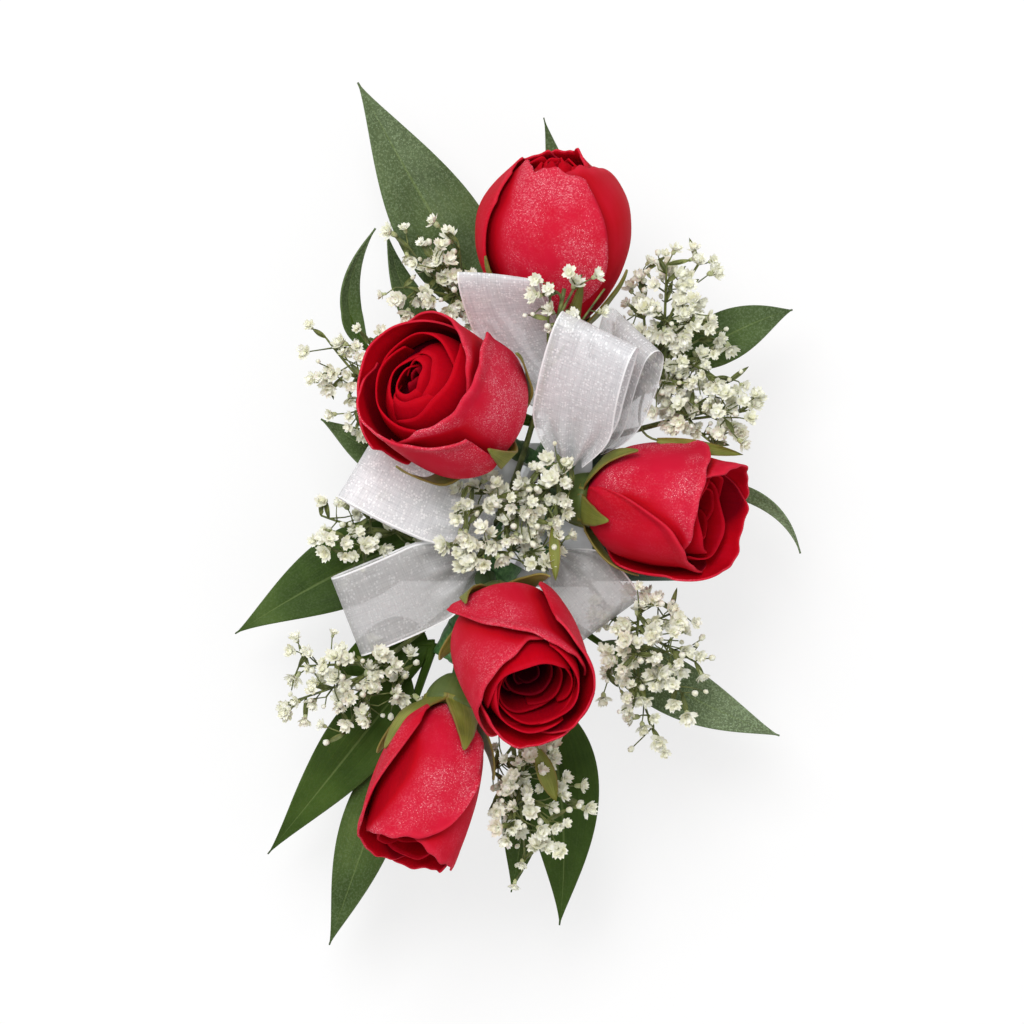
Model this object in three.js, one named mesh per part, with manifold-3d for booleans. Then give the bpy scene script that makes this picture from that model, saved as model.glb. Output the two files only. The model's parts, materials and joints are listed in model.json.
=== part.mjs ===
// A wrist corsage: five wired rose heads, wired leaf sprays, baby's breath and a bow of sheer
// ribbon, bound with floral tape to one curved spine, which a metal clip holds on an elastic band.
// Millimetres, +Z up, origin on the table under the middle of the elastic band.
import * as THREE from "three";
import { mergeVertices } from "three/addons/utils/BufferGeometryUtils.js";
import Module from "manifold-3d";

const wasm = await Module();
wasm.setup();

// Driving dimensions
const GAP = 0.4; // left between pieces that touch
const ROOT_CLEAR = 1; // from the spine to the foot of a leaf or a spray, whose width turns with it
const LEAF_RISE = -1.5; // where leaf stems leave the spine, from its axis
const SPRIG_RISE = 1.2;
const BAND = { width: 25.4, thickness: 1.2, straight: 30, bendRadius: 14 };
const CLIP = { length: 24, sheet: 0.7, lip: 4, fingerWidth: 2.2, fingerAt: [0.375, 0.624] };
const SPINE_RADIUS = 4;
const STEM_RADIUS = 1.5;
const WIRE_RADIUS = 1; // of the wire that a ribbon loop is gathered on
const KNUCKLE_RADIUS = 1.9;
const PETALS = 4;
const PETAL_SPAN = 150; // degrees that one petal reaches round the bud
const PETAL_SHEET = 0.5;
const PETAL_LAYER = 1.3; // radial step from a petal to the one that it overlaps
const PETAL_PEAK = -0.25; // where a petal is highest, as a share of its span from its middle
const TUCKED_FALL = 0.12; // how far the side under a neighbour falls from the peak
const HIP = { length: 6.5, radius: 5 };
const SLIT_TURN = 62; // the turn of the slit in a closed heart
const SEPALS = 5;
const RIBBON = { width: 16, sheet: 0.4, pinch: 4.5, gather: 0.42 }; // gathered over this share of a loop
const LEAF_SHEET = 0.6;
const SPRIG = { stem: 0.55, twig: 0.4, floret: 2.3 };

const RED = new THREE.MeshStandardMaterial({ color: 0xc00a22, roughness: 0.6, metalness: 0 });
const DEEP_RED = new THREE.MeshStandardMaterial({ color: 0x9c0618, roughness: 0.65, metalness: 0 });
const CALYX_GREEN = new THREE.MeshStandardMaterial({ color: 0x6d8c2e, roughness: 0.6, metalness: 0 });
const LEAF_GREEN = new THREE.MeshStandardMaterial({ color: 0x2c5a26, roughness: 0.4, metalness: 0 });
const WHITE = new THREE.MeshStandardMaterial({ color: 0xe4e4ea, roughness: 0.5, metalness: 0 });
const CREAM = new THREE.MeshStandardMaterial({ color: 0xf2f1e2, roughness: 0.8, metalness: 0 });
const TAPE_GREEN = new THREE.MeshStandardMaterial({ color: 0x3f6b34, roughness: 0.7, metalness: 0 });
const ELASTIC = new THREE.MeshStandardMaterial({ color: 0x26402c, roughness: 0.9, metalness: 0 });
const STEEL = new THREE.MeshStandardMaterial({ color: 0xb9bcc0, roughness: 0.35, metalness: 1 });

// Heights that follow from the band, the clip and the spine
const BAND_TOP = 2 * BAND.bendRadius + BAND.thickness / 2;
const CLIP_TOP = BAND_TOP + BAND.thickness / 2 + GAP + CLIP.sheet;
const SPINE_Z = CLIP_TOP + GAP + SPINE_RADIUS;

const spine = new THREE.CatmullRomCurve3(
  [
    [-15, -28],
    [-6.5, -11],
    [0, 1],
    [6, 13],
    [13.5, 27],
  ].map(([x, y]) => new THREE.Vector3(x, y, SPINE_Z)),
);

// Roses: where the petals start, which way the bud points, how long and wide it is, how full its base is,
// how far its mouth is open, which way round its petals overlap, the height of its first petal and how far
// the free side of that petal falls, the fall of the others, the turn about its axis, and the turn and
// length of its sepals.
const ROSES = [
  { name: "rose_top", at: [4.5, 35.6, 43.5], azimuth: 90, elevation: 20, stem: 4, height: 34, radius: 15.2,
    full: 0.1, open: -0.15, hand: 1, first: 0.92, fall: 0.06, drop: 0.16, roll: -129, sepalTurn: 0, sepal: 16,
    heart: "dome" },
  { name: "rose_left", at: [-8.4, 16.5, 51], azimuth: 146, elevation: 50, stem: 5.5, height: 27, radius: 14.2,
    full: 1, open: 0.6, hand: 1, first: 0.97, fall: 0.3, drop: 0.24, roll: 56, sepalTurn: 26, sepal: 11,
    heart: "dome" },
  { name: "rose_right", at: [11.7, 2.6, 46], azimuth: -6, elevation: 18, stem: 3.5, height: 29, radius: 12.2,
    full: 0.8, open: 0.25, hand: -1, first: 0.74, fall: 0.82, drop: 0.3, roll: 234, sepalTurn: 48, sepal: 9,
    heart: "roll" },
  { name: "rose_centre", at: [-5.8, -18.4, 53], azimuth: -66, elevation: 52, stem: 4.5, height: 29,
    radius: 12.8, full: 1, open: 0.5, hand: 1, first: 0.88, fall: 0.8, drop: 0.24, roll: 86,
    sepalTurn: 60, sepal: 8, heart: "funnel" },
  { name: "rose_bottom", at: [-15.3, -36.9, 45.5], azimuth: -107, elevation: 20, stem: 3.5, height: 31,
    radius: 10.8, full: 0.7, open: 0.3, hand: -1, first: 0.7, fall: 0.45, drop: 0.42, roll: 185,
    sepalTurn: 50, sepal: 11, heart: "roll" },
];

// Leaf sprays: one or more leaves that grow from one wired stem at a place along the spine.
const SPRAYS = [
  { name: "leaf_top_left", along: 0.86, side: 150, leaves: [
    { via: [-9, 43, 33], tip: [-33, 83, 30], blade: 0.3, width: 16, roll: 12 }] },
  { name: "leaf_spray_left", along: 0.79, side: 160, leaves: [
    { via: [-49, 28, 30], tip: [-29.6, 55, 30], blade: 0.5, width: 6, roll: 40 },
    { via: [-22, 26, 31], tip: [-27.4, 54, 33], blade: 0.38, width: 9, roll: 40 }] },
  { name: "leaf_top", along: 0.97, side: 95, leaves: [
    { via: [9, 52, 25], tip: [2.7, 76.6, 22], blade: 0.2, width: 8, roll: 0 }] },
  { name: "leaf_spray_right", along: 0.85, side: -5, leaves: [
    { via: [34, 33, 33], tip: [50.4, 39.4, 30], blade: 0.35, width: 11, roll: -15 },
    { via: [22, 28, 34], tip: [30, 41, 33], blade: 0.25, width: 8, roll: 10 }] },
  { name: "leaf_right", along: 0.53, side: -5, leaves: [
    { via: [46, 14, 30], tip: [52, -7.4, 27], blade: 0.35, width: 3.2, roll: 30 }] },
  { name: "leaf_spray_mid_left", along: 0.5, side: 180, leaves: [
    { via: [-28, -4, 31], tip: [-56.6, -22.8, 28], blade: 0.32, width: 15, roll: 8 },
    { via: [-22, 6, 32], tip: [-40, 18.4, 33], blade: 0.45, width: 9, roll: 30 }] },
  { name: "leaf_low_right", along: 0.3, side: -20, leaves: [
    { via: [24, -34, 32], tip: [48, -42.4, 27], blade: 0.3, width: 11, roll: -14 }] },
  { name: "leaf_spray_low_left", along: 0.06, side: 180, leaves: [
    { via: [-33, -36, 31], tip: [-50.4, -65.2, 26], blade: 0.2, width: 13, roll: 10 },
    { via: [-34, -54, 29], tip: [-38.6, -82.8, 24], blade: 0.3, width: 11.5, roll: 20 },
    { via: [-25, -24, 34], tip: [-39, -31, 33], blade: 0.08, width: 12, roll: 0 }] },
  { name: "leaf_spray_bottom", along: 0.2, side: -20, leaves: [
    { via: [11.5, -44, 31], tip: [5.7, -78.3, 26], blade: 0.3, width: 14, roll: -12 },
    { via: [2, -50, 30], tip: [-3.6, -72.6, 25], blade: 0.45, width: 8.5, roll: 5 }] },
];

// Ribbon loops: from the foot, bending past a point on the way, to the middle of the fold, with the
// ribbon's turn about that line. A wired loop is gathered on a stub of wire of its own.
const KNOT = { at: [-2.5, -3, 44.5], radius: 3.1, rise: 3.7 };
const LOOPS = [
  { name: "ribbon_loop_top", wired: true, from: [9.5, 20, 45], via: [-3.6, 31.4, 49.4],
    fold: [-6.6, 44.8, 64.6], roll: -30, belly: 1.6 },
  { name: "ribbon_loop_upper_right", wired: true, from: [7.6, 10.4, 50.6], via: [6.6, 21.6, 60.4],
    fold: [12.4, 34.6, 69], roll: -12, belly: 3.2 },
  { name: "ribbon_loop_far_right", wired: true, from: [12.8, 13, 43], via: [17.4, 24, 50], fold: [19.6, 35, 57],
    roll: -52, belly: 2.2 },
  { name: "ribbon_loop_left", from: [-6.8, -1, 45], via: [-19, 3.4, 46.2], fold: [-32.5, 10.2, 46],
    roll: 4, belly: 2.6 },
  { name: "ribbon_loop_low_left", wired: true, from: [-10.4, -8.5, 42.2], via: [-21, -14, 42.6],
    fold: [-35, -19.4, 42.5], roll: -6, belly: 2.6 },
  { name: "ribbon_loop_low_right", wired: true, from: [5, -8, 43], via: [9, -13, 43], fold: [14.8, -20.4, 44],
    roll: -20, belly: 2.4 },
];

// Baby's breath: each spray has stems from one root at the spine to its hubs, and twigs to its florets.
const SPRIGS = [
  { name: "gypsophila_top_left", along: 0.88, side: 140, hubs: [
    { at: [-19, 41, 40], reach: [12, 13, 7], florets: 8, lean: 0.6 }] },
  { name: "gypsophila_right", along: 0.77, side: -5, hubs: [
    { at: [30, 32, 43.5], reach: [10.5, 20, 9], florets: 14, lean: 0 }] },
  { name: "gypsophila_left", along: 0.49, side: 175, hubs: [
    { at: [-36, -3, 38], reach: [9, 6, 4], florets: 5, lean: 0.3 },
    { at: [-34, 28, 37], reach: [7, 9, 4], florets: 6, lean: 0 }] },
  { name: "gypsophila_centre", along: 0.55, side: 150, hubs: [
    { at: [-5, 1.5, 54.5], reach: [9.5, 6, 2.4], florets: 7, lean: 0 },
    { at: [-9.6, -7.6, 52.4], reach: [6.5, 3.2, 2], florets: 4, lean: 0 }] },
  { name: "gypsophila_low_left", along: 0.2, side: 185, hubs: [
    { at: [-34, -32.5, 37.4], reach: [11, 8, 4], florets: 7, lean: 0.5 }] },
  { name: "gypsophila_low_right", along: 0.5, side: -30, hubs: [
    { at: [22.5, -28, 41], reach: [10, 13, 6], florets: 10, lean: 0 }] },
  { name: "gypsophila_bottom", along: 0.16, side: -30, hubs: [
    { at: [-2, -53, 39], reach: [9, 11, 5], florets: 8, lean: 0.5 }] },
];

const radians = THREE.MathUtils.degToRad;
const vector = (values) => new THREE.Vector3(...values);

// Solids

function solid(geometry) {
  const bare = geometry.clone();
  bare.deleteAttribute("normal");
  bare.deleteAttribute("uv");
  const merged = mergeVertices(bare, 1e-3);
  const vertProperties = new Float32Array(merged.attributes.position.array);
  const triVerts = new Uint32Array(merged.index.array);
  return new wasm.Manifold(new wasm.Mesh({ numProp: 3, vertProperties, triVerts }));
}

function geometryOf(made) {
  const { vertProperties, triVerts } = made.getMesh();
  const geometry = new THREE.BufferGeometry();
  geometry.setAttribute("position", new THREE.BufferAttribute(vertProperties, 3));
  geometry.setIndex(new THREE.BufferAttribute(triVerts, 1));
  return geometry;
}

function fuse(geometries) {
  return geometryOf(geometries.map(solid).reduce((whole, next) => whole.add(next)));
}

function mesh(name, geometry, material) {
  const made = new THREE.Mesh(geometry, material);
  made.name = name;
  return made;
}

// A closed sheet of even thickness whose middle surface is point(u, v), with u and v from 0 to 1.
function sheet(point, columns, rows, thickness) {
  const step = 1e-3;
  const across = new THREE.Vector3();
  const along = new THREE.Vector3();
  const positions = [];
  for (const side of [0.5, -0.5]) {
    for (let j = 0; j <= rows; j++) {
      for (let i = 0; i <= columns; i++) {
        const u = i / columns;
        const v = j / rows;
        across.subVectors(point(Math.min(u + step, 1), v), point(Math.max(u - step, 0), v));
        along.subVectors(point(u, Math.min(v + step, 1)), point(u, Math.max(v - step, 0)));
        const normal = across.cross(along).normalize();
        const spot = point(u, v).addScaledVector(normal, side * thickness);
        positions.push(spot.x, spot.y, spot.z);
      }
    }
  }
  const wide = columns + 1;
  const back = wide * (rows + 1);
  const faces = [];
  const quad = (a, b, c, d) => faces.push(a, b, c, a, c, d);
  for (let j = 0; j < rows; j++) {
    for (let i = 0; i < columns; i++) {
      const a = j * wide + i;
      quad(a, a + 1, a + 1 + wide, a + wide);
      quad(back + a, back + a + wide, back + a + 1 + wide, back + a + 1);
    }
  }
  const rim = [];
  for (let i = 0; i < columns; i++) rim.push(i);
  for (let j = 0; j < rows; j++) rim.push(j * wide + columns);
  for (let i = columns; i > 0; i--) rim.push(rows * wide + i);
  for (let j = rows; j > 0; j--) rim.push(j * wide);
  rim.forEach((a, n) => {
    const b = rim[(n + 1) % rim.length];
    quad(a, back + a, back + b, b);
  });
  const geometry = new THREE.BufferGeometry();
  geometry.setAttribute("position", new THREE.Float32BufferAttribute(positions, 3));
  geometry.setIndex(faces);
  return geometry;
}

// A round rod along a curve.
function rod(curve, radius, sides, steps) {
  const section = new THREE.Shape(new THREE.EllipseCurve(0, 0, radius, radius).getSpacedPoints(sides).slice(1));
  return new THREE.ExtrudeGeometry(section, { steps, extrudePath: curve });
}

const straight = (from, to) => new THREE.LineCurve3(from, to);
const ball = (centre, radius, wide, high) =>
  new THREE.SphereGeometry(radius, wide, high).translate(centre.x, centre.y, centre.z);

// A point on the outside of the spine, seen from it in a level direction.
function besideSpine(along, side, rise) {
  const angle = radians(side);
  const clear = SPINE_RADIUS + ROOT_CLEAR;
  return spine.getPointAt(along).add(new THREE.Vector3(clear * Math.cos(angle), clear * Math.sin(angle), rise));
}

// Wristlet

function bandRun(name, z) {
  const run = new THREE.BoxGeometry(BAND.straight - GAP, BAND.width, BAND.thickness);
  return mesh(name, run.translate(0, 0, z), ELASTIC);
}

function bandEnd(name, direction) {
  const outline = new THREE.Shape();
  const outer = BAND.bendRadius + BAND.thickness / 2;
  const inner = BAND.bendRadius - BAND.thickness / 2;
  outline.absarc(0, 0, outer, -Math.PI / 2, Math.PI / 2, false);
  outline.absarc(0, 0, inner, Math.PI / 2, -Math.PI / 2, true);
  const end = new THREE.ExtrudeGeometry(outline, { depth: BAND.width, bevelEnabled: false, curveSegments: 8 });
  end.translate(0, 0, -BAND.width / 2).rotateX(Math.PI / 2);
  if (direction < 0) end.rotateZ(Math.PI);
  return mesh(name, end.translate((direction * BAND.straight) / 2, 0, outer), ELASTIC);
}

// The clip is a channel crimped round the upper run of the band, with two fingers bent over the spine.
function clip() {
  const half = BAND.width / 2 + GAP;
  const low = BAND_TOP - BAND.thickness / 2 - GAP - CLIP.sheet;
  const profile = new THREE.Shape();
  profile.moveTo(-half - CLIP.sheet, low);
  profile.lineTo(-half + CLIP.lip, low);
  profile.lineTo(-half + CLIP.lip, low + CLIP.sheet);
  profile.lineTo(-half, low + CLIP.sheet);
  profile.lineTo(-half, CLIP_TOP - CLIP.sheet);
  profile.lineTo(half, CLIP_TOP - CLIP.sheet);
  profile.lineTo(half, low + CLIP.sheet);
  profile.lineTo(half - CLIP.lip, low + CLIP.sheet);
  profile.lineTo(half - CLIP.lip, low);
  profile.lineTo(half + CLIP.sheet, low);
  profile.lineTo(half + CLIP.sheet, CLIP_TOP);
  profile.lineTo(-half - CLIP.sheet, CLIP_TOP);
  const channel = new THREE.ExtrudeGeometry(profile, { depth: CLIP.length, bevelEnabled: false });
  channel.translate(0, 0, -CLIP.length / 2).rotateX(Math.PI / 2).rotateZ(Math.PI / 2);
  return mesh("wristlet_clip", fuse([channel, ...CLIP.fingerAt.map(finger)]), STEEL);
}

function finger(along) {
  const inner = SPINE_RADIUS + 2 * GAP;
  const outer = inner + CLIP.sheet;
  const foot = CLIP_TOP - SPINE_Z - CLIP.sheet / 2;
  const arch = new THREE.Shape();
  arch.moveTo(outer, foot);
  arch.absarc(0, 0, outer, 0, Math.PI, false);
  arch.lineTo(-outer, foot);
  arch.lineTo(-inner, foot);
  arch.absarc(0, 0, inner, Math.PI, 0, true);
  arch.lineTo(inner, foot);
  const made = new THREE.ExtrudeGeometry(arch, { depth: CLIP.fingerWidth, bevelEnabled: false, curveSegments: 7 });
  const heading = spine.getTangentAt(along);
  made.translate(0, 0, -CLIP.fingerWidth / 2).rotateX(Math.PI / 2);
  made.rotateZ(Math.atan2(heading.y, heading.x) - Math.PI / 2);
  const at = spine.getPointAt(along);
  return made.translate(at.x, at.y, at.z);
}

// The taped spine has a stub of wire that reaches to each rose's own wired stem and to the bow.
function tapedSpine() {
  const pieces = [rod(spine, SPINE_RADIUS, 9, 10)];
  const stub = (point, clear, radius) => {
    const root = nearestOnSpine(point);
    const share = 1 - clear / point.distanceTo(root);
    pieces.push(rod(straight(root, root.clone().lerp(point, share)), radius, 6, 1));
  };
  for (const rose of ROSES) stub(rosePivot(rose), KNUCKLE_RADIUS + GAP, STEM_RADIUS);
  for (const loop of LOOPS.filter((one) => one.wired)) {
    stub(vector(loop.from), GAP + 1.5 * WIRE_RADIUS, WIRE_RADIUS);
  }
  return mesh("taped_spine", fuse(pieces), TAPE_GREEN);
}

function nearestOnSpine(point) {
  const samples = spine.getSpacedPoints(60);
  return samples.reduce((best, spot) => (spot.distanceTo(point) < best.distanceTo(point) ? spot : best));
}

// Roses

function roseAxis(rose) {
  const turn = new THREE.Euler(0, -radians(rose.elevation), radians(rose.azimuth), "ZYX");
  return new THREE.Vector3(1, 0, 0).applyEuler(turn);
}

function rosePivot(rose) {
  return vector(rose.at).addScaledVector(roseAxis(rose), -HIP.length - rose.stem);
}

// How far the bud's side stands from its axis, as a share of the largest radius, up its height.
function budProfile(rose) {
  const shares = [
    [0.28 + 0.16 * rose.full, 0],
    [0.5 + 0.24 * rose.full, 0.1],
    [0.68 + 0.23 * rose.full, 0.2],
    [0.88 + 0.1 * rose.full, 0.36],
    [1, 0.56],
    [0.94 + 0.05 * rose.open, 0.82],
    [0.72 + 0.26 * rose.open, 1],
  ];
  const curve = new THREE.SplineCurve(shares.map(([r, z]) => new THREE.Vector2(r, z)));
  const samples = curve.getPoints(120);
  return (share) => {
    const spot = samples.find((p) => p.y >= Math.min(share, 0.999)) ?? samples.at(-1);
    return spot.x * rose.radius;
  };
}

// A petal wraps its neighbour: one side is tucked under, the other lies free and falls away from the peak.
function petal(rose, profile, index) {
  const deepest = (PETAL_SPAN / (360 / PETALS)) * PETAL_LAYER;
  const height = rose.height * (index === 0 ? rose.first : 1 - 0.03 * (index % 2));
  const freeFall = index === 0 ? rose.fall : rose.drop;
  const point = (u, v) => {
    const spread = u - 0.5;
    const narrow = 0.55 + 0.45 * Math.min(1, v * 2.5);
    const local = spread * PETAL_SPAN * narrow;
    const past = (spread - PETAL_PEAK) / ((spread > PETAL_PEAK ? 0.5 : -0.5) - PETAL_PEAK);
    const top = height * (1 - (spread > PETAL_PEAK ? freeFall : TUCKED_FALL) * Math.pow(past, 1.7));
    const z = GAP + Math.pow(v, 1.5) * (top - GAP);
    const layer = ((local + PETAL_SPAN / 2) / (360 / PETALS)) * PETAL_LAYER;
    const radius = profile(z / rose.height) - deepest + layer;
    const angle = rose.hand * radians(index * (360 / PETALS) + local);
    return new THREE.Vector3(radius * Math.cos(angle), radius * Math.sin(angle), z);
  };
  return sheet(point, 6, 5, PETAL_SHEET);
}

// The heart is the inner petals. In a dome they close over a slit, in a funnel they lean back and leave a
// deep mouth, and otherwise one rolled petal stands in a bowl of the others.
function heart(rose, profile) {
  const inset = (PETAL_SPAN / (360 / PETALS)) * PETAL_LAYER + PETAL_LAYER;
  const rim = rose.heart === "dome" ? 0.74 : 0.86;
  const outside = [0.03, 0.15, 0.4, rim].map((share) => [Math.max(profile(share) - inset, 1), share]);
  const mouth = profile(rim) - inset - 1;
  const tops = {
    dome: [[mouth * 0.86, 0.87], [mouth * 0.5, 0.93], [0, 0.94]],
    funnel: [[mouth, rim], [mouth * 0.78, 0.66], [mouth * 0.4, 0.5], [0, 0.44]],
    roll: [[mouth, rim], [mouth * 0.7, 0.62], [0, 0.62]],
  };
  const outline = [[0, 0.03], ...outside, ...tops[rose.heart]];
  const points = outline.map(([r, share]) => new THREE.Vector2(r, share * rose.height));
  const body = new THREE.LatheGeometry(points, 12).rotateX(Math.PI / 2);
  if (rose.heart === "dome") return slitDome(rose, body, mouth);
  const deep = rose.heart === "funnel";
  const turns = deep ? 1.1 : 1.6;
  const foot = deep ? 0.5 : 0.59;
  const roll = sheet(
    (u, v) => {
      const angle = rose.hand * u * turns * 2 * Math.PI;
      const radius = mouth * (0.2 + 0.55 * u) * (deep ? 0.8 + 0.3 * v : 1 - 0.12 * v);
      const rise = (rim - foot - 0.01 - 0.05 * u) * (deep ? 0.75 : 1);
      const z = rose.height * (foot + v * rise);
      return new THREE.Vector3(radius * Math.cos(angle), radius * Math.sin(angle), z);
    },
    12,
    1,
    0.6,
  );
  return fuse([body, roll]);
}

function slitDome(rose, dome, mouth) {
  const long = mouth * 0.5;
  const lens = new THREE.Shape();
  lens.moveTo(-long, 0);
  lens.quadraticCurveTo(0, 1.8, long, 0);
  lens.quadraticCurveTo(0, -1.8, -long, 0);
  const cut = new THREE.ExtrudeGeometry(lens, { depth: 9, bevelEnabled: false, curveSegments: 4 });
  cut.rotateZ(radians(SLIT_TURN - rose.roll)).translate(0, 0, 0.94 * rose.height - 7);
  return geometryOf(solid(dome).subtract(solid(cut)));
}

function calyx(rose, profile) {
  const { length, radius } = HIP;
  const foot = -length - rose.stem;
  const hip = new THREE.LatheGeometry(
    [
      [0, foot - KNUCKLE_RADIUS],
      [KNUCKLE_RADIUS * 0.87, foot - KNUCKLE_RADIUS / 2],
      [KNUCKLE_RADIUS * 0.87, foot + KNUCKLE_RADIUS / 2],
      [STEM_RADIUS, foot + KNUCKLE_RADIUS],
      [STEM_RADIUS, -length],
      [radius * 0.8, -length * 0.66],
      [radius, -length * 0.3],
      [radius * 0.92, 0],
      [0, 0],
    ].map(([r, z]) => new THREE.Vector2(r, z)),
    7,
  ).rotateX(Math.PI / 2);
  const sepals = Array.from({ length: SEPALS }, (_, n) => sepal(rose, profile, n));
  return fuse([hip, ...sepals]);
}

function sepal(rose, profile, index) {
  const reach = rose.sepal + 3 * (index % 2);
  const middle = radians((index * 360) / SEPALS + rose.sepalTurn - rose.roll);
  const clear = 1.5;
  return sheet(
    (u, v) => {
      const z = -1.2 + Math.pow(v, 1.3) * reach;
      const radius = z < 0 ? HIP.radius - 0.3 : Math.max(profile(z / rose.height) + clear, HIP.radius - 0.3);
      const halfWidth = 2.9 * Math.pow(1 - v, 0.7) * (0.75 + 0.9 * v * (1 - v)) + 0.25;
      const angle = middle + ((u - 0.5) * 2 * halfWidth) / radius;
      return new THREE.Vector3(radius * Math.cos(angle), radius * Math.sin(angle), z);
    },
    2,
    4,
    0.5,
  );
}

function roseGroup(rose) {
  const group = new THREE.Group();
  const profile = budProfile(rose);
  group.add(mesh(`${rose.name}_heart`, heart(rose, profile), DEEP_RED));
  for (let n = 0; n < PETALS; n++) {
    group.add(mesh(`${rose.name}_petal_${n + 1}`, petal(rose, profile, n), RED));
  }
  group.add(mesh(`${rose.name}_calyx`, calyx(rose, profile), CALYX_GREEN));
  const upright = new THREE.Vector3(0, 0, 1);
  group.quaternion.setFromUnitVectors(upright, roseAxis(rose));
  group.quaternion.multiply(new THREE.Quaternion().setFromAxisAngle(upright, radians(rose.roll)));
  group.position.copy(vector(rose.at));
  return group;
}

// Leaves

function leaf(root, { via, tip, blade, width, roll }) {
  const path = new THREE.QuadraticBezierCurve3(root, vector(via), vector(tip));
  const petiole = 0.7;
  const keel = 0.18;
  const up = new THREE.Vector3(0, 0, 1);
  return sheet(
    (u, v) => {
      const share = Math.max(0, (v - blade) / (1 - blade));
      const lance = 3.84 * Math.pow(share, 0.75) * Math.pow(1 - share, 1.3);
      const half = Math.max(petiole * (1 - 0.6 * share), (width / 2) * lance);
      const heading = path.getTangent(v);
      const twist = radians(roll * Math.min(1, 3 * share));
      const side = heading.clone().cross(up).normalize().applyAxisAngle(heading, twist);
      const face = side.clone().cross(heading);
      const off = (u - 0.5) * 2 * half;
      return path.getPoint(v).addScaledVector(side, off).addScaledVector(face, keel * Math.abs(off));
    },
    2,
    8,
    LEAF_SHEET,
  );
}

function spray({ name, along, side, leaves }) {
  const root = besideSpine(along, side, LEAF_RISE);
  return mesh(name, fuse(leaves.map((one) => leaf(root, one))), LEAF_GREEN);
}

// Bow

function ribbonLoop({ name, from, via, fold, roll, belly }) {
  const path = new THREE.QuadraticBezierCurve3(vector(from), vector(via), vector(fold));
  const up = new THREE.Vector3(0, 0, 1);
  const profile = new THREE.CatmullRomCurve3(
    [
      [0, 0.5],
      [0.3, 0.5 * belly + 0.3],
      [0.72, belly],
      [0.96, 0.72 * belly],
      [1, 0],
      [0.96, -0.72 * belly],
      [0.72, -belly],
      [0.3, -0.5 * belly - 0.3],
      [0, -0.5],
    ].map(([share, height]) => new THREE.Vector3(share * path.getLength(), height, 0)),
  );
  const strip = sheet(
    (u, v) => {
      const spot = profile.getPoint(v);
      const share = THREE.MathUtils.clamp(spot.x / path.getLength(), 0, 1);
      const gathered = Math.min(1, 0.05 + share / RIBBON.gather);
      const width = RIBBON.pinch + (RIBBON.width - RIBBON.pinch) * Math.sin((gathered * Math.PI) / 2);
      const out = path.getTangentAt(share);
      const side = out.clone().cross(up).normalize().applyAxisAngle(out, radians(roll));
      const face = side.clone().cross(out);
      return path.getPointAt(share).addScaledVector(face, spot.y).addScaledVector(side, (u - 0.5) * width);
    },
    1,
    18,
    RIBBON.sheet,
  );
  return mesh(name, strip, WHITE);
}

// The knot is gathered ribbon on a wire that stands on the spine.
function knot() {
  const at = vector(KNOT.at);
  const root = nearestOnSpine(at).add(new THREE.Vector3(0, 0, SPINE_RADIUS + GAP));
  const bead = ball(new THREE.Vector3(), KNOT.radius, 9, 6);
  bead.scale(1, 1, KNOT.rise / KNOT.radius).translate(at.x, at.y, at.z);
  return mesh("ribbon_knot", fuse([bead, rod(straight(root, at), STEM_RADIUS, 8, 1)]), WHITE);
}

// Baby's breath

function sprig({ name, along, side, hubs }) {
  const root = besideSpine(along, side, SPRIG_RISE);
  return mesh(name, fuse(hubs.flatMap((hub) => sprigPieces(root, hub))), CREAM);
}

function sprigPieces(root, { at, reach, florets, lean }) {
  const hub = vector(at);
  const via = root.clone().lerp(hub, 0.6).setZ(root.z);
  const path = new THREE.QuadraticBezierCurve3(root, via, hub);
  const pieces = [rod(path, SPRIG.stem, 4, 4)];
  const outward = hub.clone().sub(root).setZ(0).normalize();
  const golden = Math.PI * (3 - Math.sqrt(5));
  for (let n = 0; n < florets; n++) {
    const rise = (n + 0.5) / florets;
    const ring = Math.sqrt(1 - rise * rise);
    const turn = n * golden;
    const spot = new THREE.Vector3(ring * Math.cos(turn), ring * Math.sin(turn), 2 * (rise - 0.3));
    const end = spot.multiply(vector(reach)).addScaledVector(outward, lean * reach[0] * 0.5).add(hub);
    pieces.push(flowerTwig(path.getPoint(0.6 + 0.39 * rise), end));
  }
  return pieces;
}

// A twig that widens into a floret at its end.
function flowerTwig(from, to) {
  const length = from.distanceTo(to);
  const outline = [
    [0, 0],
    [SPRIG.twig, 0],
    [SPRIG.twig, length - SPRIG.floret],
    [SPRIG.floret, length],
    [0, length + 0.8 * SPRIG.floret],
  ].map(([r, z]) => new THREE.Vector2(r, z));
  const heading = to.clone().sub(from).divideScalar(length);
  const turn = new THREE.Quaternion().setFromUnitVectors(new THREE.Vector3(0, 1, 0), heading);
  return new THREE.LatheGeometry(outline, 4).applyQuaternion(turn).translate(from.x, from.y, from.z);
}

const corsage = new THREE.Group();
corsage.add(
  bandRun("wristlet_band_upper", BAND_TOP),
  bandRun("wristlet_band_lower", BAND.thickness / 2),
  bandEnd("wristlet_band_left", -1),
  bandEnd("wristlet_band_right", 1),
  clip(),
  tapedSpine(),
  knot(),
  ...SPRAYS.map(spray),
  ...LOOPS.map(ribbonLoop),
  ...SPRIGS.map(sprig),
  ...ROSES.map(roseGroup),
);

export default corsage;
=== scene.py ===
"""A wrist corsage: red roses, leaves, baby's breath and sheer ribbon on a taped spine and an elastic."""

import json
import math

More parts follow.
